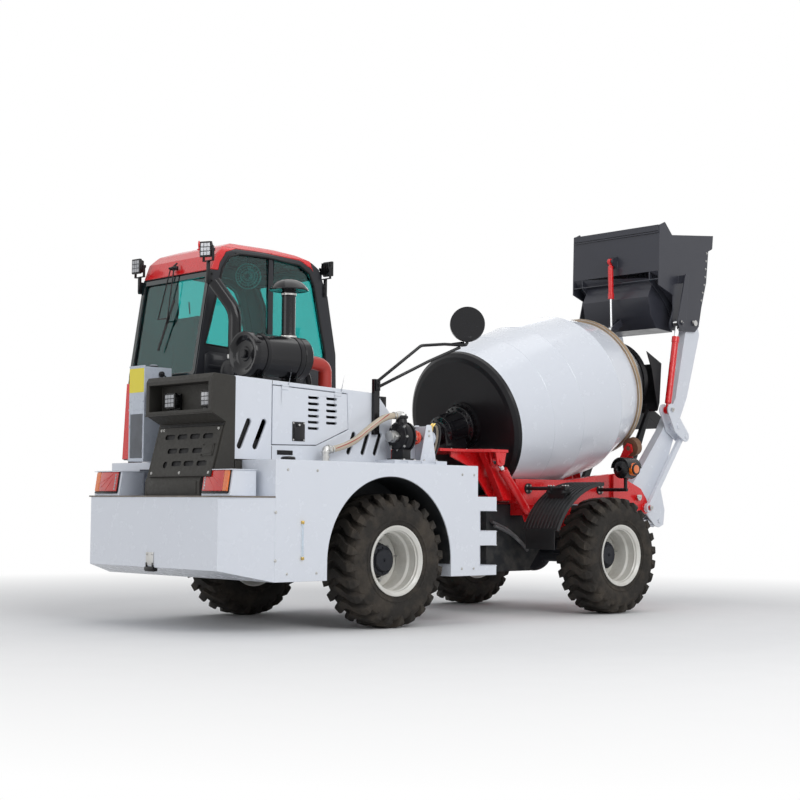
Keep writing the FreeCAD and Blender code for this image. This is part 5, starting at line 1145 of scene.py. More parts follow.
def make_cab_inside():
    """The fan under the roof, the dash and the levers."""
    fan, way = at(-0.42, 0.36, 2.93), Vector((-0.66, -0.73, -0.1)).normalized()
    f = facing(fan, way)
    shape = bmesh.new()
    for radius, out in ((0.11, 0.0), (0.104, 0.03), (0.082, 0.042), (0.06, 0.047), (0.036, 0.049),
                        (0.104, -0.03), (0.07, -0.045)):
        add_wire_ring(shape, out, radius, 0.0016, 6, fan, way, 40)
    for i in range(24):
        a = math.pi * i / 12
        c, s = math.cos(a), math.sin(a)
        for out in (1, -1):
            knee = spot(f, 0.104 * c, 0.104 * s, out * 0.03)
            add_bar(shape, spot(f, 0.11 * c, 0.11 * s, 0), knee, 0.001, 6)
            add_bar(shape, knee, spot(f, 0.02 * c, 0.02 * s, out * 0.05), 0.001, 6)
    settle(shape, "fan_cage", ZINC, REAR)
    shape = bmesh.new()
    add_turned(shape, [(-0.1, 0.0), (-0.1, 0.03), (-0.09, 0.038), (-0.05, 0.038), (-0.045, 0.012),
                       (0.02, 0.014), (0.03, 0.01), (0.032, 0.0)], fan, way, 28)
    for i in range(3):
        blade = f @ Matrix.Rotation(THIRD_TURN * i, 4, "Z") @ Matrix.Translation((0.052, 0, 0))
        blade = blade @ Matrix.Rotation(0.5, 4, "X")
        add_turned_block(shape, blade, (0.08, 0.055, 0.003), 0.001, 1)
    add_bar(shape, spot(f, 0, 0, -0.08), at(-0.42, 0.36, 3.1), 0.009, 12)
    settle(shape, "fan_motor", DARK_PLASTIC, REAR)
    shape = bmesh.new()
    add_block(shape, (0.12, 0.33, 1.93), (0.3, 0.95, 2.02), 0.012, 3)
    add_block(shape, (0.14, 0.36, 1.42), (0.3, 0.45, 1.95), 0.01)
    add_block(shape, (0.14, 0.83, 1.42), (0.3, 0.92, 1.95), 0.01)
    x = -0.5
    for y in (0.34, 0.94):
        add_block(shape, (x - 0.26, y - 0.045, 1.395), (x + 0.2, y + 0.045, 1.98), 0.02, 3)
        for dx in (-0.02, 0.06):
            add_bar(shape, at(x + dx + 0.05, y, 1.97), at(x + dx + 0.08, y, 2.12), 0.006, 10)
            add_turned(shape, [(0, 0.0), (0, 0.01), (0.02, 0.017), (0.045, 0.016), (0.055, 0.0)],
                       at(x + dx + 0.078, y, 2.11), (0.2, 0, 1), 18)
    settle(shape, "cab_dash_and_levers", DARK_PLASTIC, REAR)


QUICK_VOXEL, PAD_VOXEL = 0.012, 0.0075
PAD_PRESSURE, PAD_FRAMES = 4.0, 20
# How far the stuffing may push a pad's cover out, and where each seam runs, as a share of half the width.
PAD_RISE, SEAM_AT = 0.016, 0.6


def plump(name, low, high, lean):
    """A stuffed pad: a rounded block, blown up as cloth and held near it, with two seams pressed in."""
    shape = bmesh.new()
    middle = [(a + b) / 2 for a, b in zip(low, high)]
    size = [abs(b - a) for a, b in zip(low, high)]
    f = Matrix.Translation(at(*middle)) @ Matrix.Rotation(lean, 4, "Y")
    add_turned_block(shape, f, [v - 0.024 for v in size], 0.02, 3)
    piece = settle(shape, name, FABRIC, REAR, 60)
    remesh = piece.modifiers.new("even_mesh", "REMESH")
    remesh.mode = "VOXEL"
    remesh.voxel_size = PAD_VOXEL
    firm = piece.modifiers.new("firm", "SMOOTH")
    firm.iterations = 4
    apply_looks(piece)
    rest = [v.co.copy() for v in piece.data.vertices]
    cloth = piece.modifiers.new("stuffing", "CLOTH")
    cloth.settings.use_pressure = True
    cloth.settings.uniform_pressure_force = PAD_PRESSURE
    cloth.settings.effector_weights.gravity = 0.0
    cloth.settings.quality = 4
    scene = bpy.context.scene
    for number in range(1, PAD_FRAMES + 1):
        scene.frame_set(number)
    apply_looks(piece)
    scene.frame_set(1)
    back = f.inverted()
    half = [s / 2 - 0.003 for s in size]
    for v, was in zip(piece.data.vertices, rest):
        moved = v.co - was
        if moved.length > PAD_RISE:
            v.co = was + moved.normalized() * PAD_RISE
        p = back @ v.co
        p = Vector([max(-h, min(h, c)) for h, c in zip(half, p)])
        wide = abs(p.y) / half[1]
        channel = min(abs(abs(p.y) - half[1] * SEAM_AT), 0.02) / 0.02
        p.z = p.z - math.copysign(0.007 * (1 - channel) ** 2, p.z) if wide < 0.9 else p.z
        v.co = f @ p
    even = piece.modifiers.new("even_surface", "SUBSURF")
    even.levels = even.render_levels = 1
    return piece


def apply_looks(piece):
    """Turn the modifiers' result into the piece's own mesh."""
    shown = piece.evaluated_get(bpy.context.evaluated_depsgraph_get())
    mesh = bpy.data.meshes.new_from_object(shown)
    looks = list(piece.data.materials)
    piece.modifiers.clear()
    piece.data = mesh
    mesh.materials.clear()
    for look in looks:
        mesh.materials.append(look)
    mesh.shade_smooth()


def make_seat():
    """The driver's seat: two stuffed pads on a frame."""
    cushion = plump("seat_cushion", (-0.812, 0.405, 1.802), (-0.345, 0.875, 1.908), 0.0)
    plump("seat_back_pad", (-0.866, 0.415, 1.93), (-0.768, 0.865, 2.585), -0.1733)
    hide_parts("seat")
    shape = bmesh.new()
    for y in (0.415, 0.865):
        add_bar(shape, at(-0.8, y, 1.81), at(-0.37, y, 1.81), 0.0035, 8)
    add_block(shape, (-0.8, 0.42, 1.786), (-0.36, 0.86, 1.803), 0.006)
    for y in (0.56, 0.72):
        add_bar(shape, at(-0.875, y, 2.58), at(-0.885, y, 2.68), 0.006, 12)
    settle(shape, "seat_frame", SATIN_BLACK, REAR)


PANE_EDGE = grain("pane_border", (0.004, 0.012, 0.014), (0.006, 0.02, 0.022), wear=0.4, scale=60.0,
                  depth=0.01, rough=(0.03, 0.07), coat=0.4)
make_cab_glazing()
make_wiper()
make_cab_lamps()
make_cab_inside()
make_seat()


# ---------------------------------------------------------------- cooler, filter, exhaust, pump and mirror
YELLOW = paint("label_film", (0.86, 0.72, 0.02), dust=0.05, gloss=(0.3, 0.4))
FIN_METAL = grain("fin_aluminium", (0.42, 0.43, 0.45), (0.3, 0.3, 0.3), wear=0.5, depth=0.1,
                  rough=(0.3, 0.45), metallic=0.8)


def make_cooler_parts():
    """The cooler's core, label, cap, gauge and edges."""
    shape = bmesh.new()
    for i in range(13):
        y = 0.374 + i * 0.0137
        add_block(shape, (-1.464, y, 1.345), (-1.42, y + 0.0022, 1.70), 0.0)
        if i < 12:
            for j in range(24):
                z = 1.352 + j * 0.0147
                add_block(shape, (-1.452, y + 0.003, z), (-1.43, y + 0.0125, z + 0.0012), 0.0)
    settle(shape, "cooler_core", FIN_METAL, REAR)
    shape = bmesh.new()
    add_block(shape, (-1.4668, 0.353, 1.876), (-1.4648, 0.559, 2.072), 0.0004, 1)
    settle(shape, "cooler_label", YELLOW, REAR)
    shape = bmesh.new()
    add_bar(shape, at(-1.306, 0.349, 2.028), at(-1.306, 0.325, 2.028), 0.024, 24, edge=0.003)
    add_bar(shape, at(-1.306, 0.33, 2.028), at(-1.306, 0.312, 2.028), 0.013, 6, edge=0.001)
    add_bar(shape, at(-1.29, 0.318, 2.015), at(-1.25, 0.322, 1.99), 0.006, 10)
    add_turned(shape, [(0, 0.0), (0, 0.036), (0.012, 0.038), (0.02, 0.034), (0.024, 0.02), (0.026, 0.0)],
               at(-1.31, 0.45, 2.085), (0, 0, 1), 32)
    settle(shape, "cooler_cap_and_gauge", SATIN_BLACK, REAR)
    shape = bmesh.new()
    for z in (1.325, 1.73, 2.082):
        add_block(shape, (-1.4675, 0.347, z), (-1.455, 0.565, z + 0.012), 0.002)
    for y in (0.358, 0.553):
        for z in (1.40, 1.60, 1.80):
            add_bolt(shape, at(-1.4655, y, z), (-1, 0, 0), 0.005, 0.004)
    settle(shape, "cooler_trim", COOLER, REAR)


def make_air_filter():
    """The air filter with its rain cap, saddles, clamps and intake pipes."""
    line, level = -0.44, 2.163
    place, way = at(-1.085, line, level), (1, 0, 0)
    shape = bmesh.new()
    add_turned(shape, [(0.024, 0.0), (0.024, 0.052), (0.034, 0.06), (0.036, 0.1), (0.026, 0.118),
                       (0.012, 0.135), (0.004, 0.152), (0.0, 0.168), (0.003, 0.176), (0.01, 0.179),
                       (0.052, 0.179), (0.056, 0.176), (0.058, 0.1715), (0.064, 0.170), (0.592, 0.170),
                       (0.599, 0.165), (0.603, 0.15), (0.603, 0.064), (0.606, 0.06), (0.645, 0.059),
                       (0.645, 0.0)], place, way, 72)
    for s in (0.16, 0.52):
        add_turned(shape, [(s, 0.1695), (s, 0.1725), (s + 0.003, 0.1735), (s + 0.007, 0.1725),
                           (s + 0.007, 0.1695), (s, 0.1695)], place, way, 72)
    add_turned(shape, [(0.0, 0.0), (0.0, 0.026), (0.008, 0.034), (0.026, 0.036), (0.026, 0.0)],
               place, way, 28)
    for a in (0.5, 2.6, 4.7):
        f = facing(place, way, a)
        add_turned_block(shape, put(f, 0.183, 0, 0.034), (0.01, 0.03, 0.055), 0.003)
        add_bar(shape, spot(f, 0.178, -0.012, 0.06), spot(f, 0.178, 0.012, 0.06), 0.005, 10)
    stack = at(-0.62, line, 0)
    add_turned(shape, [(2.30, 0.0), (2.30, 0.064), (2.342, 0.064), (2.346, 0.058), (2.36, 0.0565),
                       (2.66, 0.0565), (2.662, 0.06), (2.69, 0.06), (2.692, 0.056), (2.74, 0.056)], stack,
               (0, 0, 1), 48)
    add_turned(shape, [(2.715, 0.05), (2.712, 0.13), (2.706, 0.154), (2.708, 0.160), (2.716, 0.1605),
                       (2.728, 0.153), (2.75, 0.135), (2.772, 0.11), (2.788, 0.078), (2.797, 0.04),
                       (2.8, 0.0)], stack, (0, 0, 1), 64)
    for i in range(8):
        f = Matrix.Translation(stack) @ Matrix.Rotation(i * math.pi / 4, 4, "Z")
        add_turned_block(shape, put(f, 0.09, 0, 2.722), (0.07, 0.003, 0.018), 0.0)
    piece = settle(shape, "air_filter_drum", GLOSS_BLACK, REAR)
    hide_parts("air_filter")
    shape = bmesh.new()
    for x in (-0.96, -0.62):
        add_block(shape, (x, -0.55, 1.925), (x + 0.04, -0.33, 1.99), 0.003)
        add_block(shape, (x + 0.002, -0.47, 1.925), (x + 0.038, -0.41, 2.0), 0.002)
        add_ring(shape, 0, 0.034, 0.170, 0.1745, at(x + 0.003, line, level), way, 64)
        for y in (-0.535, -0.345):
            add_bar(shape, at(x + 0.02, y, 1.98), at(x + 0.02, y * 0.985 - 0.006, 2.05), 0.006, 10)
            add_bolt(shape, at(x + 0.02, y, 1.985), (0, 0, 1), 0.009, 0.008)
    settle(shape, "air_filter_saddles", SATIN_BLACK, REAR)
    shape = bmesh.new()
    add_clamp(shape, at(-0.62, line, 2.332), (0, 0, 1), 0.065)
    add_clamp(shape, at(-0.62, line, 2.676), (0, 0, 1), 0.0605)
    add_clamp(shape, at(-0.462, line, 2.143), (1, 0, 0), 0.0595)
    add_clamp(shape, at(-0.425, line, 2.143), (1, 0, 0), 0.0575)
    add_clamp(shape, at(-0.225, line, 1.93), (0, 0, 1), 0.0575)
    settle(shape, "intake_clamps", ZINC, REAR)
    shape = bmesh.new()
    add_turned(shape, [(0, 0.0), (0, 0.075), (0.006, 0.078), (0.014, 0.062), (0.016, 0.0)],
               at(-0.225, line, 1.9), (0, 0, 1), 40)
    settle(shape, "intake_boot", RUBBER, REAR)
    pipes("breather_pipe", [([(-0.47, -0.33, 2.07), (-0.36, -0.33, 2.075), (-0.3, -0.33, 2.02),
                              (-0.3, -0.33, 1.89)], 0.026)], SATIN_BLACK, REAR)
    tube = pipes("intake_elbow", [([(-0.44, line, 2.143), (-0.34, line, 2.143), (-0.225, line, 2.12),
                                    (-0.225, line, 1.99), (-0.225, line, 1.896)], 0.056)], HOSE_RED, REAR)
    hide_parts("hoses")


def make_exhaust():
    """The muffler's drum and the clamp on its tail pipe."""
    shape = bmesh.new()
    place = at(-1.01, -0.15, 2.0434)
    add_turned(shape, [(-0.004, 0.0), (-0.004, 0.05), (0.004, 0.078), (0.012, 0.09), (0.018, 0.0935),
                       (0.302, 0.0935), (0.308, 0.09), (0.316, 0.078), (0.324, 0.05), (0.324, 0.0)], place,
               (1, 0, 0), 48)
    for s in (0.06, 0.245):
        add_ring(shape, s, 0.025, 0.0925, 0.096, place, (1, 0, 0), 48)
    settle(shape, "muffler_drum", SATIN_BLACK, REAR)
    shape = bmesh.new()
    add_clamp(shape, at(-0.94, -0.15, 2.165), (0, 0, 1), 0.0545, 0.03)
    settle(shape, "exhaust_clamp", ZINC, REAR)


def make_pump():
    """The water pump, its motor, rail, couplings, elbow and hoses."""
    shape, iron, bare, base, bolts = (bmesh.new() for _ in range(5))
    line, level = -0.86, 1.545
    place, way = at(0.19, line, level), (1, 0, 0)
    add_turned(iron, [(0.0, 0.0), (0.0, 0.05), (0.006, 0.06), (0.012, 0.098), (0.02, 0.104), (0.022, 0.124),
                      (0.038, 0.125), (0.04, 0.112), (0.052, 0.116), (0.085, 0.116), (0.097, 0.11),
                      (0.1, 0.124), (0.114, 0.124), (0.117, 0.09), (0.125, 0.06), (0.15, 0.055),
                      (0.152, 0.0)], place, way, 56)
    add_turned(iron, [(0.1, 0.052), (0.15, 0.044), (0.152, 0.054), (0.166, 0.056), (0.174, 0.05),
                      (0.176, 0.0), (0.1, 0.0), (0.1, 0.052)], at(0.25, line, level), (0, 0, 1), 36)
    for i in range(6):
        f = facing(place, way, i * math.pi / 3 + 0.3)
        add_turned_block(iron, put(f, 0.085, 0, 0.13), (0.06, 0.01, 0.03), 0.002)
    add_block(iron, (0.205, -0.93, 1.352), (0.295, -0.79, 1.44), 0.008)
    add_block(iron, (0.17, -0.945, 1.35), (0.33, -0.775, 1.366), 0.003)
    piece = settle(iron, "pump_volute", SATIN_BLACK, REAR)
    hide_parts("water_pump")
    ring_of_bolts(bolts, place + Vector((0.022, 0, 0)), (-1, 0, 0), 0.113, 8, 0.008, 0.008)
    ring_of_bolts(bolts, place + Vector((0.114, 0, 0)), (1, 0, 0), 0.113, 8, 0.008, 0.008)
    add_turned(shape, [(0.05, 0.0), (0.05, 0.03), (0.052, 0.046), (0.066, 0.046), (0.07, 0.04), (0.09, 0.038),
                       (0.092, 0.049), (0.112, 0.049), (0.116, 0.042), (0.14, 0.042), (0.144, 0.06),
                       (0.156, 0.06), (0.16, 0.0)], at(0.06, line, level), way, 36)
    for y in (-0.913, -0.807):
        add_turned_block(shape, Matrix.Translation(at(0.165, y, level)), (0.05, 0.012, 0.016), 0.003)
    add_bar(shape, at(0.25, line, 1.715), at(0.25, line, 1.735), 0.044, 6, edge=0.002)
    settle(shape, "pump_couplings", ZINC, REAR)
    pipes("outlet_turn", [([(0.25, line, 1.70), (0.25, line, 1.73), (0.235, line, 1.726),
                            (0.185, line, 1.717)], 0.031)], ZINC, REAR)
    add_bar(bare, at(0.33, line, level), at(0.36, line, level), 0.026, 24)
    add_bar(bare, at(0.43, line, level), at(0.52, line, level), 0.024, 24)
    settle(bare, "pump_shaft", ENGINE_IRON, REAR)
    coral = bmesh.new()
    add_turned(coral, [(0.0, 0.0), (0.0, 0.05), (0.004, 0.056), (0.028, 0.058), (0.03, 0.05), (0.04, 0.05),
                       (0.042, 0.058), (0.066, 0.056), (0.07, 0.05), (0.07, 0.0)],
               at(0.36, line, level), way, 36)
    for i in range(8):
        f = facing(at(0.395, line, level), way, i * math.pi / 4)
        add_turned_block(coral, put(f, 0.055, 0, 0), (0.008, 0.014, 0.05), 0.002)
    settle(coral, "pump_coupling", CORAL, REAR)
    cheek = [(0.40, 1.35), (0.58, 1.35), (0.528, 1.64), (0.512, 1.652), (0.478, 1.652), (0.466, 1.64)]
    for y0, y1 in ((-0.935, -0.925), (-0.795, -0.785)):
        side_plate(base, cheek, y0, y1, 0.002)
    cross_plate(base, [(-0.93, 1.35), (-0.79, 1.35), (-0.79, 1.64), (-0.93, 1.64)], 0.472, 0.482, 0.002)
    add_block(base, (0.06, -0.978, 1.317), (0.66, -0.752, 1.345), 0.002)
    add_block(base, (0.06, -0.985, 1.345), (0.66, -0.745, 1.352), 0.002)
    settle(base, "pump_bracket", WHITE, REAR)
    rim = [(0.06, 1.318), (0.66, 1.318), (0.66, 1.351), (0.06, 1.351)]
    holes = [slot_outline(x, 1.334, x + 0.07, 1.334, 0.009)[::-1] for x in (0.13, 0.29, 0.45)]
    turn = Matrix(((1, 0, 0), (0, 0, -1), (0, 1, 0))).to_4x4()
    flat_with_holes("pump_rail", [rim] + holes, Matrix.Translation(at(0, -0.981, 0)) @ turn, 0.004,
                    WHITE, REAR, 0.0008)
    motor = bmesh.new()
    add_turned(motor, [(0, 0.0), (0, 0.07), (0.012, 0.072), (0.014, 0.06), (0.05, 0.058), (0.052, 0.064),
                       (0.062, 0.064), (0.064, 0.058), (0.11, 0.058), (0.118, 0.05), (0.12, 0.0)],
               at(0.482, line, level), way, 32)
    add_block(motor, (0.535, -0.885, 1.60), (0.585, -0.835, 1.625), 0.004)
    settle(motor, "pump_motor", COOLER, REAR)
    for z in (1.56, 1.60):
        add_bolt(bolts, at(0.497, -0.9355, z), (0, -1, 0), 0.008, 0.006)
    for x in (0.19, 0.31, 0.42, 0.56):
        add_bolt(bolts, at(x, -0.96, 1.352), (0, 0, 1), 0.009, 0.007)
    ring_of_bolts(bolts, at(0.602, line, level), (1, 0, 0), 0.044, 6, 0.006, 0.005)
    settle(bolts, "pump_bolts", ZINC, REAR)
    brass = bmesh.new()
    for y in (-0.9, -0.87):
        add_bar(brass, at(0.56, y, 1.60), at(0.56, y - 0.01, 1.65), 0.012, 6, edge=0.001)
        add_bar(brass, at(0.56, y - 0.01, 1.64), at(0.585, y - 0.015, 1.665), 0.009, 14)
    settle(brass, "motor_fittings", BRASS, REAR)
    for i, y in enumerate((-0.915, -0.885)):
        hose(f"motor_hose_{i + 1}", [(0.58, y, 1.66), (0.63, y, 1.67), (0.67, y + 0.02, 1.58),
                                     (0.66, y + 0.04, 1.46), (0.62, y + 0.06, 1.37), (0.6, y + 0.07, 1.35)],
             0.009, PALE_HOSE if i else BLACK_HOSE, REAR)
    galvanised = bmesh.new()
    for z, r in ((1.318, 0.044), (1.352, 0.038), (1.392, 0.037)):
        add_ring(galvanised, 0, 0.012, 0.02, r, at(-0.52, -0.8, z), (0, 0, 1), 28)
    add_bar(galvanised, at(-0.485, -0.8, 1.42), at(-0.468, -0.8, 1.42), 0.037, 6, edge=0.002)
    add_ring(galvanised, 0, 0.01, 0.02, 0.037, at(-0.5, -0.8, 1.42), (1, 0, 0), 28)
    add_clamp(galvanised, at(-0.45, -0.8, 1.42), (1, 0, 0), 0.0285)
    add_clamp(galvanised, at(0.165, line, 1.717), (1, 0, 0), 0.0285)
    settle(galvanised, "tank_elbow_nuts", ZINC, REAR)
    pipes("tank_elbow", [([(-0.52, -0.8, 1.317), (-0.52, -0.8, 1.37), (-0.52, -0.8, 1.42),
                           (-0.49, -0.8, 1.42), (-0.468, -0.8, 1.42)], 0.0305)], ZINC, REAR)
    run = [(0.195, line, 1.717), (0.09, line, 1.717), (-0.08, -0.83, 1.605), (-0.22, -0.80, 1.485),
           (-0.43, -0.80, 1.42), (-0.49, -0.80, 1.42)]
    hose("suction_hose", run, 0.027, PALE_HOSE, REAR)
    side = [(x, y - 0.0245, z + 0.008) for x, y, z in run[1:5]]
    pipes("suction_hose_mark", [(side, 0.0035)], HOSE_RED, REAR)


def make_mirror():
    """The round mirror with its cover, pane and clamps."""
    soften("mirror", 0.003)
    out = Vector((-0.69, -0.725, 0)).normalized()
    centre = at(0.905, -0.975, 2.525)
    shape = bmesh.new()
    add_turned(shape, [(0.018, 0.0), (0.018, 0.1), (0.014, 0.13), (0.006, 0.145), (-0.004, 0.1495),
                       (-0.022, 0.1495), (-0.026, 0.146), (-0.026, 0.1), (-0.026, 0.0)],
               centre + out * 0.004, out, 64)
    f = facing(centre + out * 0.022, out)
    down = f.inverted().to_3x3() @ Vector((0, 0, -1))
    angle = math.atan2(down.y, down.x)
    turn = f @ Matrix.Rotation(angle, 4, "Z")
    add_turned_block(shape, put(turn, 0.078, 0, 0.006), (0.11, 0.056, 0.022), 0.006, 3)
    add_turned_block(shape, put(turn, 0.12, 0, 0.004), (0.03, 0.07, 0.03), 0.005, 3)
    settle(shape, "mirror_cover", SATIN_BLACK, REAR)
    shape = bmesh.new()
    add_turned_block(shape, put(turn, -0.075, 0.004, 0.0005), (0.042, 0.034, 0.001), 0.0)
    settle(shape, "mirror_plate", COOLER, REAR)
    shape = bmesh.new()
    add_turned(shape, [(0.0, 0.0), (0.0, 0.14), (0.003, 0.138), (0.012, 0.07), (0.016, 0.0)],
               centre - out * 0.0225, -out, 56)
    settle(shape, "mirror_pane", SILVERED, REAR)
    shape = bmesh.new()
    for z in (1.99, 1.945):
        add_block(shape, (0.07, -0.748, z - 0.022), (0.115, -0.732, z + 0.022), 0.002)
        add_bolt(shape, at(0.092, -0.748, z + 0.014), (0, -1, 0), 0.007, 0.006)
        add_bolt(shape, at(0.092, -0.748, z - 0.014), (0, -1, 0), 0.007, 0.006)
    for z in (1.6, 1.68):
        add_bolt(shape, at(0.09, -0.7355, z), (0, -1, 0), 0.009, 0.007)
    settle(shape, "mirror_clamps", SATIN_BLACK, REAR)


make_cooler_parts()
make_air_filter()
make_exhaust()
make_pump()
make_mirror()


# ---------------------------------------------------------------- front module, drum and loader details
DRUM_TILT = math.radians(14.42)
DRUM_WAY = Vector((math.cos(DRUM_TILT), 0, math.sin(DRUM_TILT)))
DRUM_UP = Vector((-math.sin(DRUM_TILT), 0, math.cos(DRUM_TILT)))
DRUM_FOOT = at(1.902, 0, 1.751)


def on_drum(s, y=0.0, up=0.0):
    """A place along the drum's axis from its foot, across, and square to the axis."""
    return DRUM_FOOT + DRUM_WAY * s + Vector((0, y, 0)) + DRUM_UP * up


def make_fender_trim():
    """Front fender ribs, straps and flange bolts."""
    shape = bmesh.new()
    arch = (2.61, 0.455)
    for i in range(9):
        y = 0.722 + i * 0.042
        side_plate(shape, arc_outline(*arch, 0.751, 0.759, 93, 154, 14), y, y + 0.016, 0.002, 1)
    for y in (0.694, 1.096):
        side_plate(shape, arc_outline(*arch, 0.722, 0.757, 92, 155, 14), y, y + 0.006, 0.001, 1)
    add_block(shape, (1.927, 0.73, 0.6), (1.935, 1.07, 0.785), 0.002)
    for y in (0.80, 0.97):
        add_block(shape, (2.135, y, 1.125), (2.195, y + 0.05, 1.17), 0.004)
        add_block(shape, (2.11, y + 0.01, 1.10), (2.22, y + 0.04, 1.128), 0.004)
    both_sides(shape)
    settle(shape, "fender_ribs", FENDER, FRONT)
    bolts = bmesh.new()
    for y in (0.812, 0.838, 0.982, 1.008):
        for x in (2.145, 2.185):
            add_bolt(bolts, at(x, y, 1.17), (0, 0, 1), 0.006, 0.006)
    for x, z in ((2.165, 1.148), (3.2, 1.15)):
        ring_of_bolts(bolts, at(x, 0.554, z), (0, 1, 0), 0.034, 4, 0.007, 0.007, math.pi / 4)
    both_sides(bolts)
    settle(bolts, "front_flange_bolts", ZINC, FRONT)


def make_headlamp_parts():
    """Headlamp reflectors and rims, and the turn lamps beside them."""
    soften("headlamps", 0.003)
    amber, mirror, rim = bmesh.new(), bmesh.new(), bmesh.new()
    level = 1.345
    add_turned(amber, [(0, 0.0), (0, 0.058), (0.05, 0.058), (0.064, 0.05), (0.068, 0.03), (0.069, 0.0)],
               at(3.2, 0.926, level), (0, 1, 0), 36)
    for s in (0.01, 0.026, 0.042):
        add_ring(amber, s, 0.006, 0.057, 0.06, at(3.2, 0.926, level), (0, 1, 0), 36)
    add_turned(mirror, [(0, 0.0), (0, 0.076), (0.004, 0.075), (0.014, 0.04), (0.018, 0.0)],
               at(3.2752, 0.86, level), (1, 0, 0), 40)
    add_turned(rim, [(0, 0.076), (0, 0.09), (0.012, 0.09), (0.014, 0.084), (0.012, 0.076), (0, 0.076)],
               at(3.275, 0.86, level), (1, 0, 0), 40)
    add_turned(rim, [(0, 0.0), (-0.03, 0.03), (-0.024, 0.06), (0.0, 0.086), (0, 0.0)], at(3.126, 0.86, level),
               (1, 0, 0), 36)
    add_ring(rim, 0, 0.012, 0.054, 0.062, at(3.2, 0.918, level), (0, 1, 0), 36)
    for part in (amber, mirror, rim):
        both_sides(part)
    settle(amber, "front_turn_lenses", LENS_AMBER, FRONT)
    settle(mirror, "headlamp_reflectors", REFLECTOR, FRONT)
    settle(rim, "headlamp_rims", LAMP_BLACK, FRONT)


def make_drum_trim():
    """Drum seams, track edges, and the bolts and ribs of the gearbox."""
    shape = bmesh.new()
    for s, r in ((0.385, 0.7565), (0.77, 0.794), (1.35, 0.794)):
        add_turned(shape, [(s - 0.005, r - 0.001), (s, r + 0.0022), (s + 0.005, r - 0.001),
                           (s - 0.005, r - 0.001)], on_drum(0), DRUM_WAY, 96)
    settle(shape, "drum_seams", WHITE, "drum")
    shape = bmesh.new()
    for s in (1.7505, 1.7975):
        add_ring(shape, s, 0.006, 0.699, 0.7025, on_drum(0), DRUM_WAY, 96)
    settle(shape, "track_edges", ZINC, "drum")
    shape = bmesh.new()
    ring_of_bolts(shape, on_drum(-0.075), -DRUM_WAY, 0.2, 24, 0.008, 0.009)
    settle(shape, "drum_flange_bolts", SATIN_BLACK, "drum")
    shape = bmesh.new()
    ring_of_bolts(shape, on_drum(-0.112), -DRUM_WAY, 0.172, 18, 0.009, 0.012)
    ring_of_bolts(shape, on_drum(-0.352), -DRUM_WAY, 0.12, 12, 0.008, 0.01)
    for i in range(10):
        f = facing(on_drum(-0.215), DRUM_WAY, i * math.pi / 5)
        add_turned_block(shape, put(f, 0.143, 0, 0), (0.02, 0.009, 0.15), 0.002)
    for s in (-0.40, -0.425, -0.45):
        add_ring(shape, s, 0.008, 0.088, 0.1, on_drum(0), DRUM_WAY, 40)
    for y in (-0.045, 0.045):
        add_bar(shape, on_drum(-0.53, y, 0.05), on_drum(-0.53, y, 0.085), 0.017, 6, edge=0.002)
    settle(shape, "gearbox_ribs_and_bolts", GLOSS_BLACK, "cradle")
    shape = bmesh.new()
    for x in (1.555, 1.755):
        for y in (-0.15, 0.15):
            add_bolt(shape, at(x, y, 1.493), (0, 0, 1), 0.012, 0.011)
    settle(shape, "pedestal_bolts", ZINC, "cradle")


def make_loader_trim():
    """Pin heads, bucket bolts and welds, and the hoses under the chassis."""
    for name, body, pins in (
            ("frame_pin_heads", FRONT, [(3.75, 1.08, 0.597, 0.03), (3.875, 0.98, 0.651, 0.022)]),
            ("crank_pin_heads", "crank", [(4.19, 1.97, 0.678, 0.022)]),
            ("bucket_pin_heads", "bucket_body", [(4.7, 2.9, 0.573, 0.026), (4.36, 2.87, 0.669, 0.02)])):
        shape = bmesh.new()
        for x, z, y, r in pins:
            add_bar(shape, at(x, y - 0.006, z), at(x, y + 0.008, z), r, 28, edge=0.003)
            add_turned_block(shape, Matrix.Translation(at(x - r * 0.4, y + 0.01, z + r * 0.4)),
                             (r * 2.4, 0.005, r), 0.001)
            add_bolt(shape, at(x - r * 1.2, y + 0.011, z + r * 0.4), (0, 1, 0), 0.007, 0.006)
            add_bolt(shape, at(x, y + 0.011, z), (0, 1, 0), 0.005, 0.005)
        both_sides(shape)
        settle(shape, name, ZINC, body)
    shape = bmesh.new()
    for i in range(7):
        z = 3.66 - i * 0.085
        edge = between(z, [(3.08, 4.835), (3.35, 4.92), (3.69, 4.96)])
        add_bolt(shape, at(edge - 0.03, 0.5705, z), (0, 1, 0), 0.008, 0.007)
    both_sides(shape)
    settle(shape, "bucket_rim_bolts", ZINC, "bucket_body")
    shape = bmesh.new()
    for z in (3.78, 3.3):
        add_block(shape, (4.1045, -0.56, z), (4.1145, 0.56, z + 0.012), 0.003)
    settle(shape, "bucket_welds", SLATE, "bucket_body")
    for i, y in enumerate((-0.43, -0.465)):
        drop = i * 0.035
        hose(f"chassis_hose_{i + 1}", [(1.8, y, 0.84 - drop), (1.88, y, 0.815 - drop), (2.01, y, 0.77 - drop),
                                       (2.15, y, 0.69 - drop), (2.25, y, 0.61 - drop)], 0.015, BRAID, FRONT)


make_fender_trim()
make_headlamp_parts()
make_drum_trim()
make_loader_trim()


# ---------------------------------------------------------------- camera, light and floor
# The camera's focal length and its shift are written for a view that is VIEW_WIDE across.
SENSOR, VIEW_WIDE = 36.0, 800.0
FOCAL, SHIFT_UP = 1547.77, 18.5


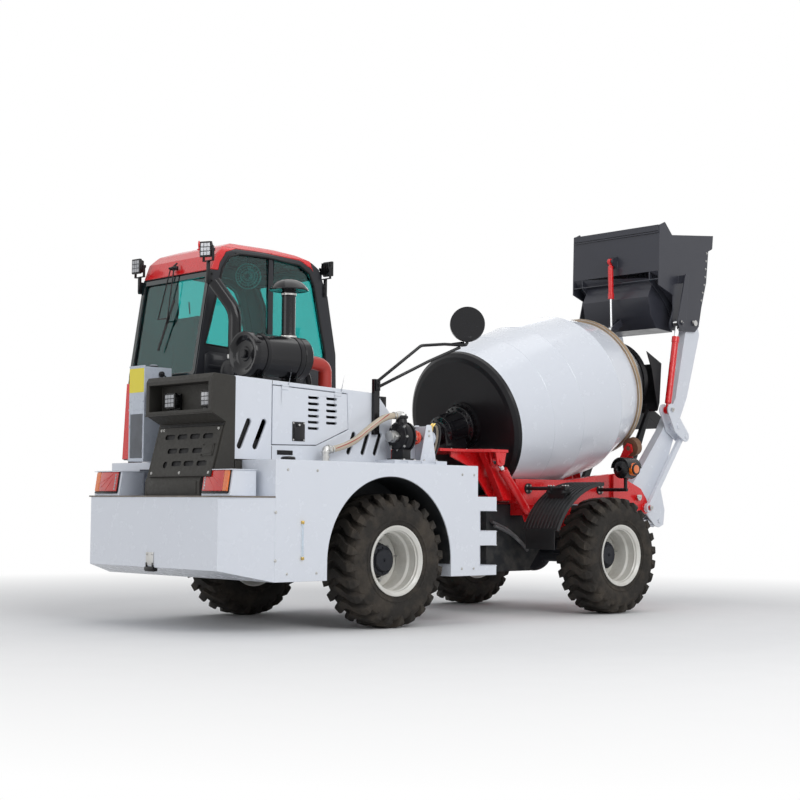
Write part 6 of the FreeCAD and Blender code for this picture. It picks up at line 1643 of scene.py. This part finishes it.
def make_camera():
    """The view from behind on the right, at eye height."""
    yaw, pitch, roll = 0.8140, 0.0568, 0.0087
    forward = Vector((math.cos(yaw) * math.cos(pitch), math.sin(yaw) * math.cos(pitch), math.sin(pitch)))
    side = Vector((math.sin(yaw), -math.cos(yaw), 0))
    up = side.cross(forward)
    right = side * math.cos(roll) + up * math.sin(roll)
    above = up * math.cos(roll) - side * math.sin(roll)
    data = bpy.data.cameras.new("camera")
    data.sensor_width = SENSOR
    data.lens = FOCAL * SENSOR / VIEW_WIDE
    data.shift_y = SHIFT_UP / VIEW_WIDE
    data.clip_end = 200.0
    camera = bpy.data.objects.new("camera", data)
    turn = Matrix((right, above, -forward)).transposed().to_4x4()
    camera.matrix_world = Matrix.Translation(at(-8.5115, -10.1202, 0.9718)) @ turn
    bpy.context.scene.collection.objects.link(camera)
    bpy.context.scene.camera = camera


def area_light(name, place, aim, size, power):
    """A soft rectangular lamp that faces a place."""
    data = bpy.data.lights.new(name, "AREA")
    data.shape = "RECTANGLE"
    data.size, data.size_y = size
    data.energy = power
    lamp = bpy.data.objects.new(name, data)
    lamp.location = place
    lamp.rotation_mode = "QUATERNION"
    lamp.rotation_quaternion = (Vector(aim) - Vector(place)).to_track_quat("-Z", "Y")
    bpy.context.scene.collection.objects.link(lamp)


def seen(tree):
    """1 on the rays that show something to the camera: its own, mirrored ones and those through glass."""
    path = node(tree, "ShaderNodeLightPath")
    either = math_node(tree, "MAXIMUM", path.outputs["Is Camera Ray"], path.outputs["Is Glossy Ray"])
    return math_node(tree, "MAXIMUM", either, path.outputs["Is Transmission Ray"])


def make_world():
    """A pale sky that lights the machine, and plain white where it is seen."""
    world = bpy.data.worlds.new("studio_world")
    world.use_nodes = True
    tree = world.node_tree
    background = tree.nodes["Background"]
    background.inputs["Color"].default_value = (0.86, 0.88, 0.92, 1)
    background.inputs["Strength"].default_value = 0.42
    plain = node(tree, "ShaderNodeBackground")
    plain.inputs["Color"].default_value = (1, 1, 1, 1)
    plain.inputs["Strength"].default_value = 1.0
    mixer = node(tree, "ShaderNodeMixShader")
    link(tree, seen(tree), mixer.inputs[0])
    link(tree, background.outputs[0], mixer.inputs[1])
    link(tree, plain.outputs[0], mixer.inputs[2])
    link(tree, mixer.outputs[0], tree.nodes["World Output"].inputs["Surface"])
    bpy.context.scene.world = world


# How far out the floor starts to fade, and where it is plain white.
FADE_FROM, FADE_TO = 3.6, 9.0


def make_floor():
    """A floor that takes the machine's shadow and fades to plain white away from it."""
    floor_mesh = bpy.data.meshes.new("floor")
    shape = bmesh.new()
    bmesh.ops.create_grid(shape, x_segments=1, y_segments=1, size=60.0)
    shape.to_mesh(floor_mesh)
    shape.free()
    floor = bpy.data.objects.new("floor", floor_mesh)
    bpy.context.scene.collection.objects.link(floor)
    material, shader = base_material("floor_white")
    tree = material.node_tree
    place = node(tree, "ShaderNodeTexCoord").outputs["Object"]
    speck = noise(tree, place, 3.0, 3.0)
    link(tree, mix_color(tree, speck, (0.86, 0.86, 0.86, 1), (0.9, 0.9, 0.9, 1)), shader.inputs["Base Color"])
    shader.inputs["Roughness"].default_value = 0.9
    away = node(tree, "ShaderNodeVectorMath", operation="LENGTH")
    link(tree, place, away.inputs[0])
    far_off = ramp(tree, away.outputs["Value"], FADE_FROM, FADE_TO)
    glow = node(tree, "ShaderNodeEmission")
    glow.inputs["Color"].default_value = (1, 1, 1, 1)
    glow.inputs["Strength"].default_value = 1.0
    mixer = node(tree, "ShaderNodeMixShader")
    link(tree, math_node(tree, "MULTIPLY", far_off, seen(tree)), mixer.inputs[0])
    link(tree, shader.outputs[0], mixer.inputs[1])
    link(tree, glow.outputs[0], mixer.inputs[2])
    link(tree, mixer.outputs[0], tree.nodes["Material Output"].inputs["Surface"])
    floor_mesh.materials.append(material)


make_camera()
area_light("key_light", (-2.5, -11.0, 7.5), (0, 0, 1.4), (8, 5), 520)
area_light("sky_light", (0.5, -0.5, 11.0), (0, 0, 0), (10, 8), 260)
area_light("rear_light", (-12.0, 1.0, 4.5), (0, 0, 1.5), (6, 5), 170)
area_light("front_light", (9.0, 5.0, 5.0), (1, 0, 1.5), (5, 5), 110)
make_world()
make_floor()
bpy.context.scene.view_settings.view_transform = "Standard"
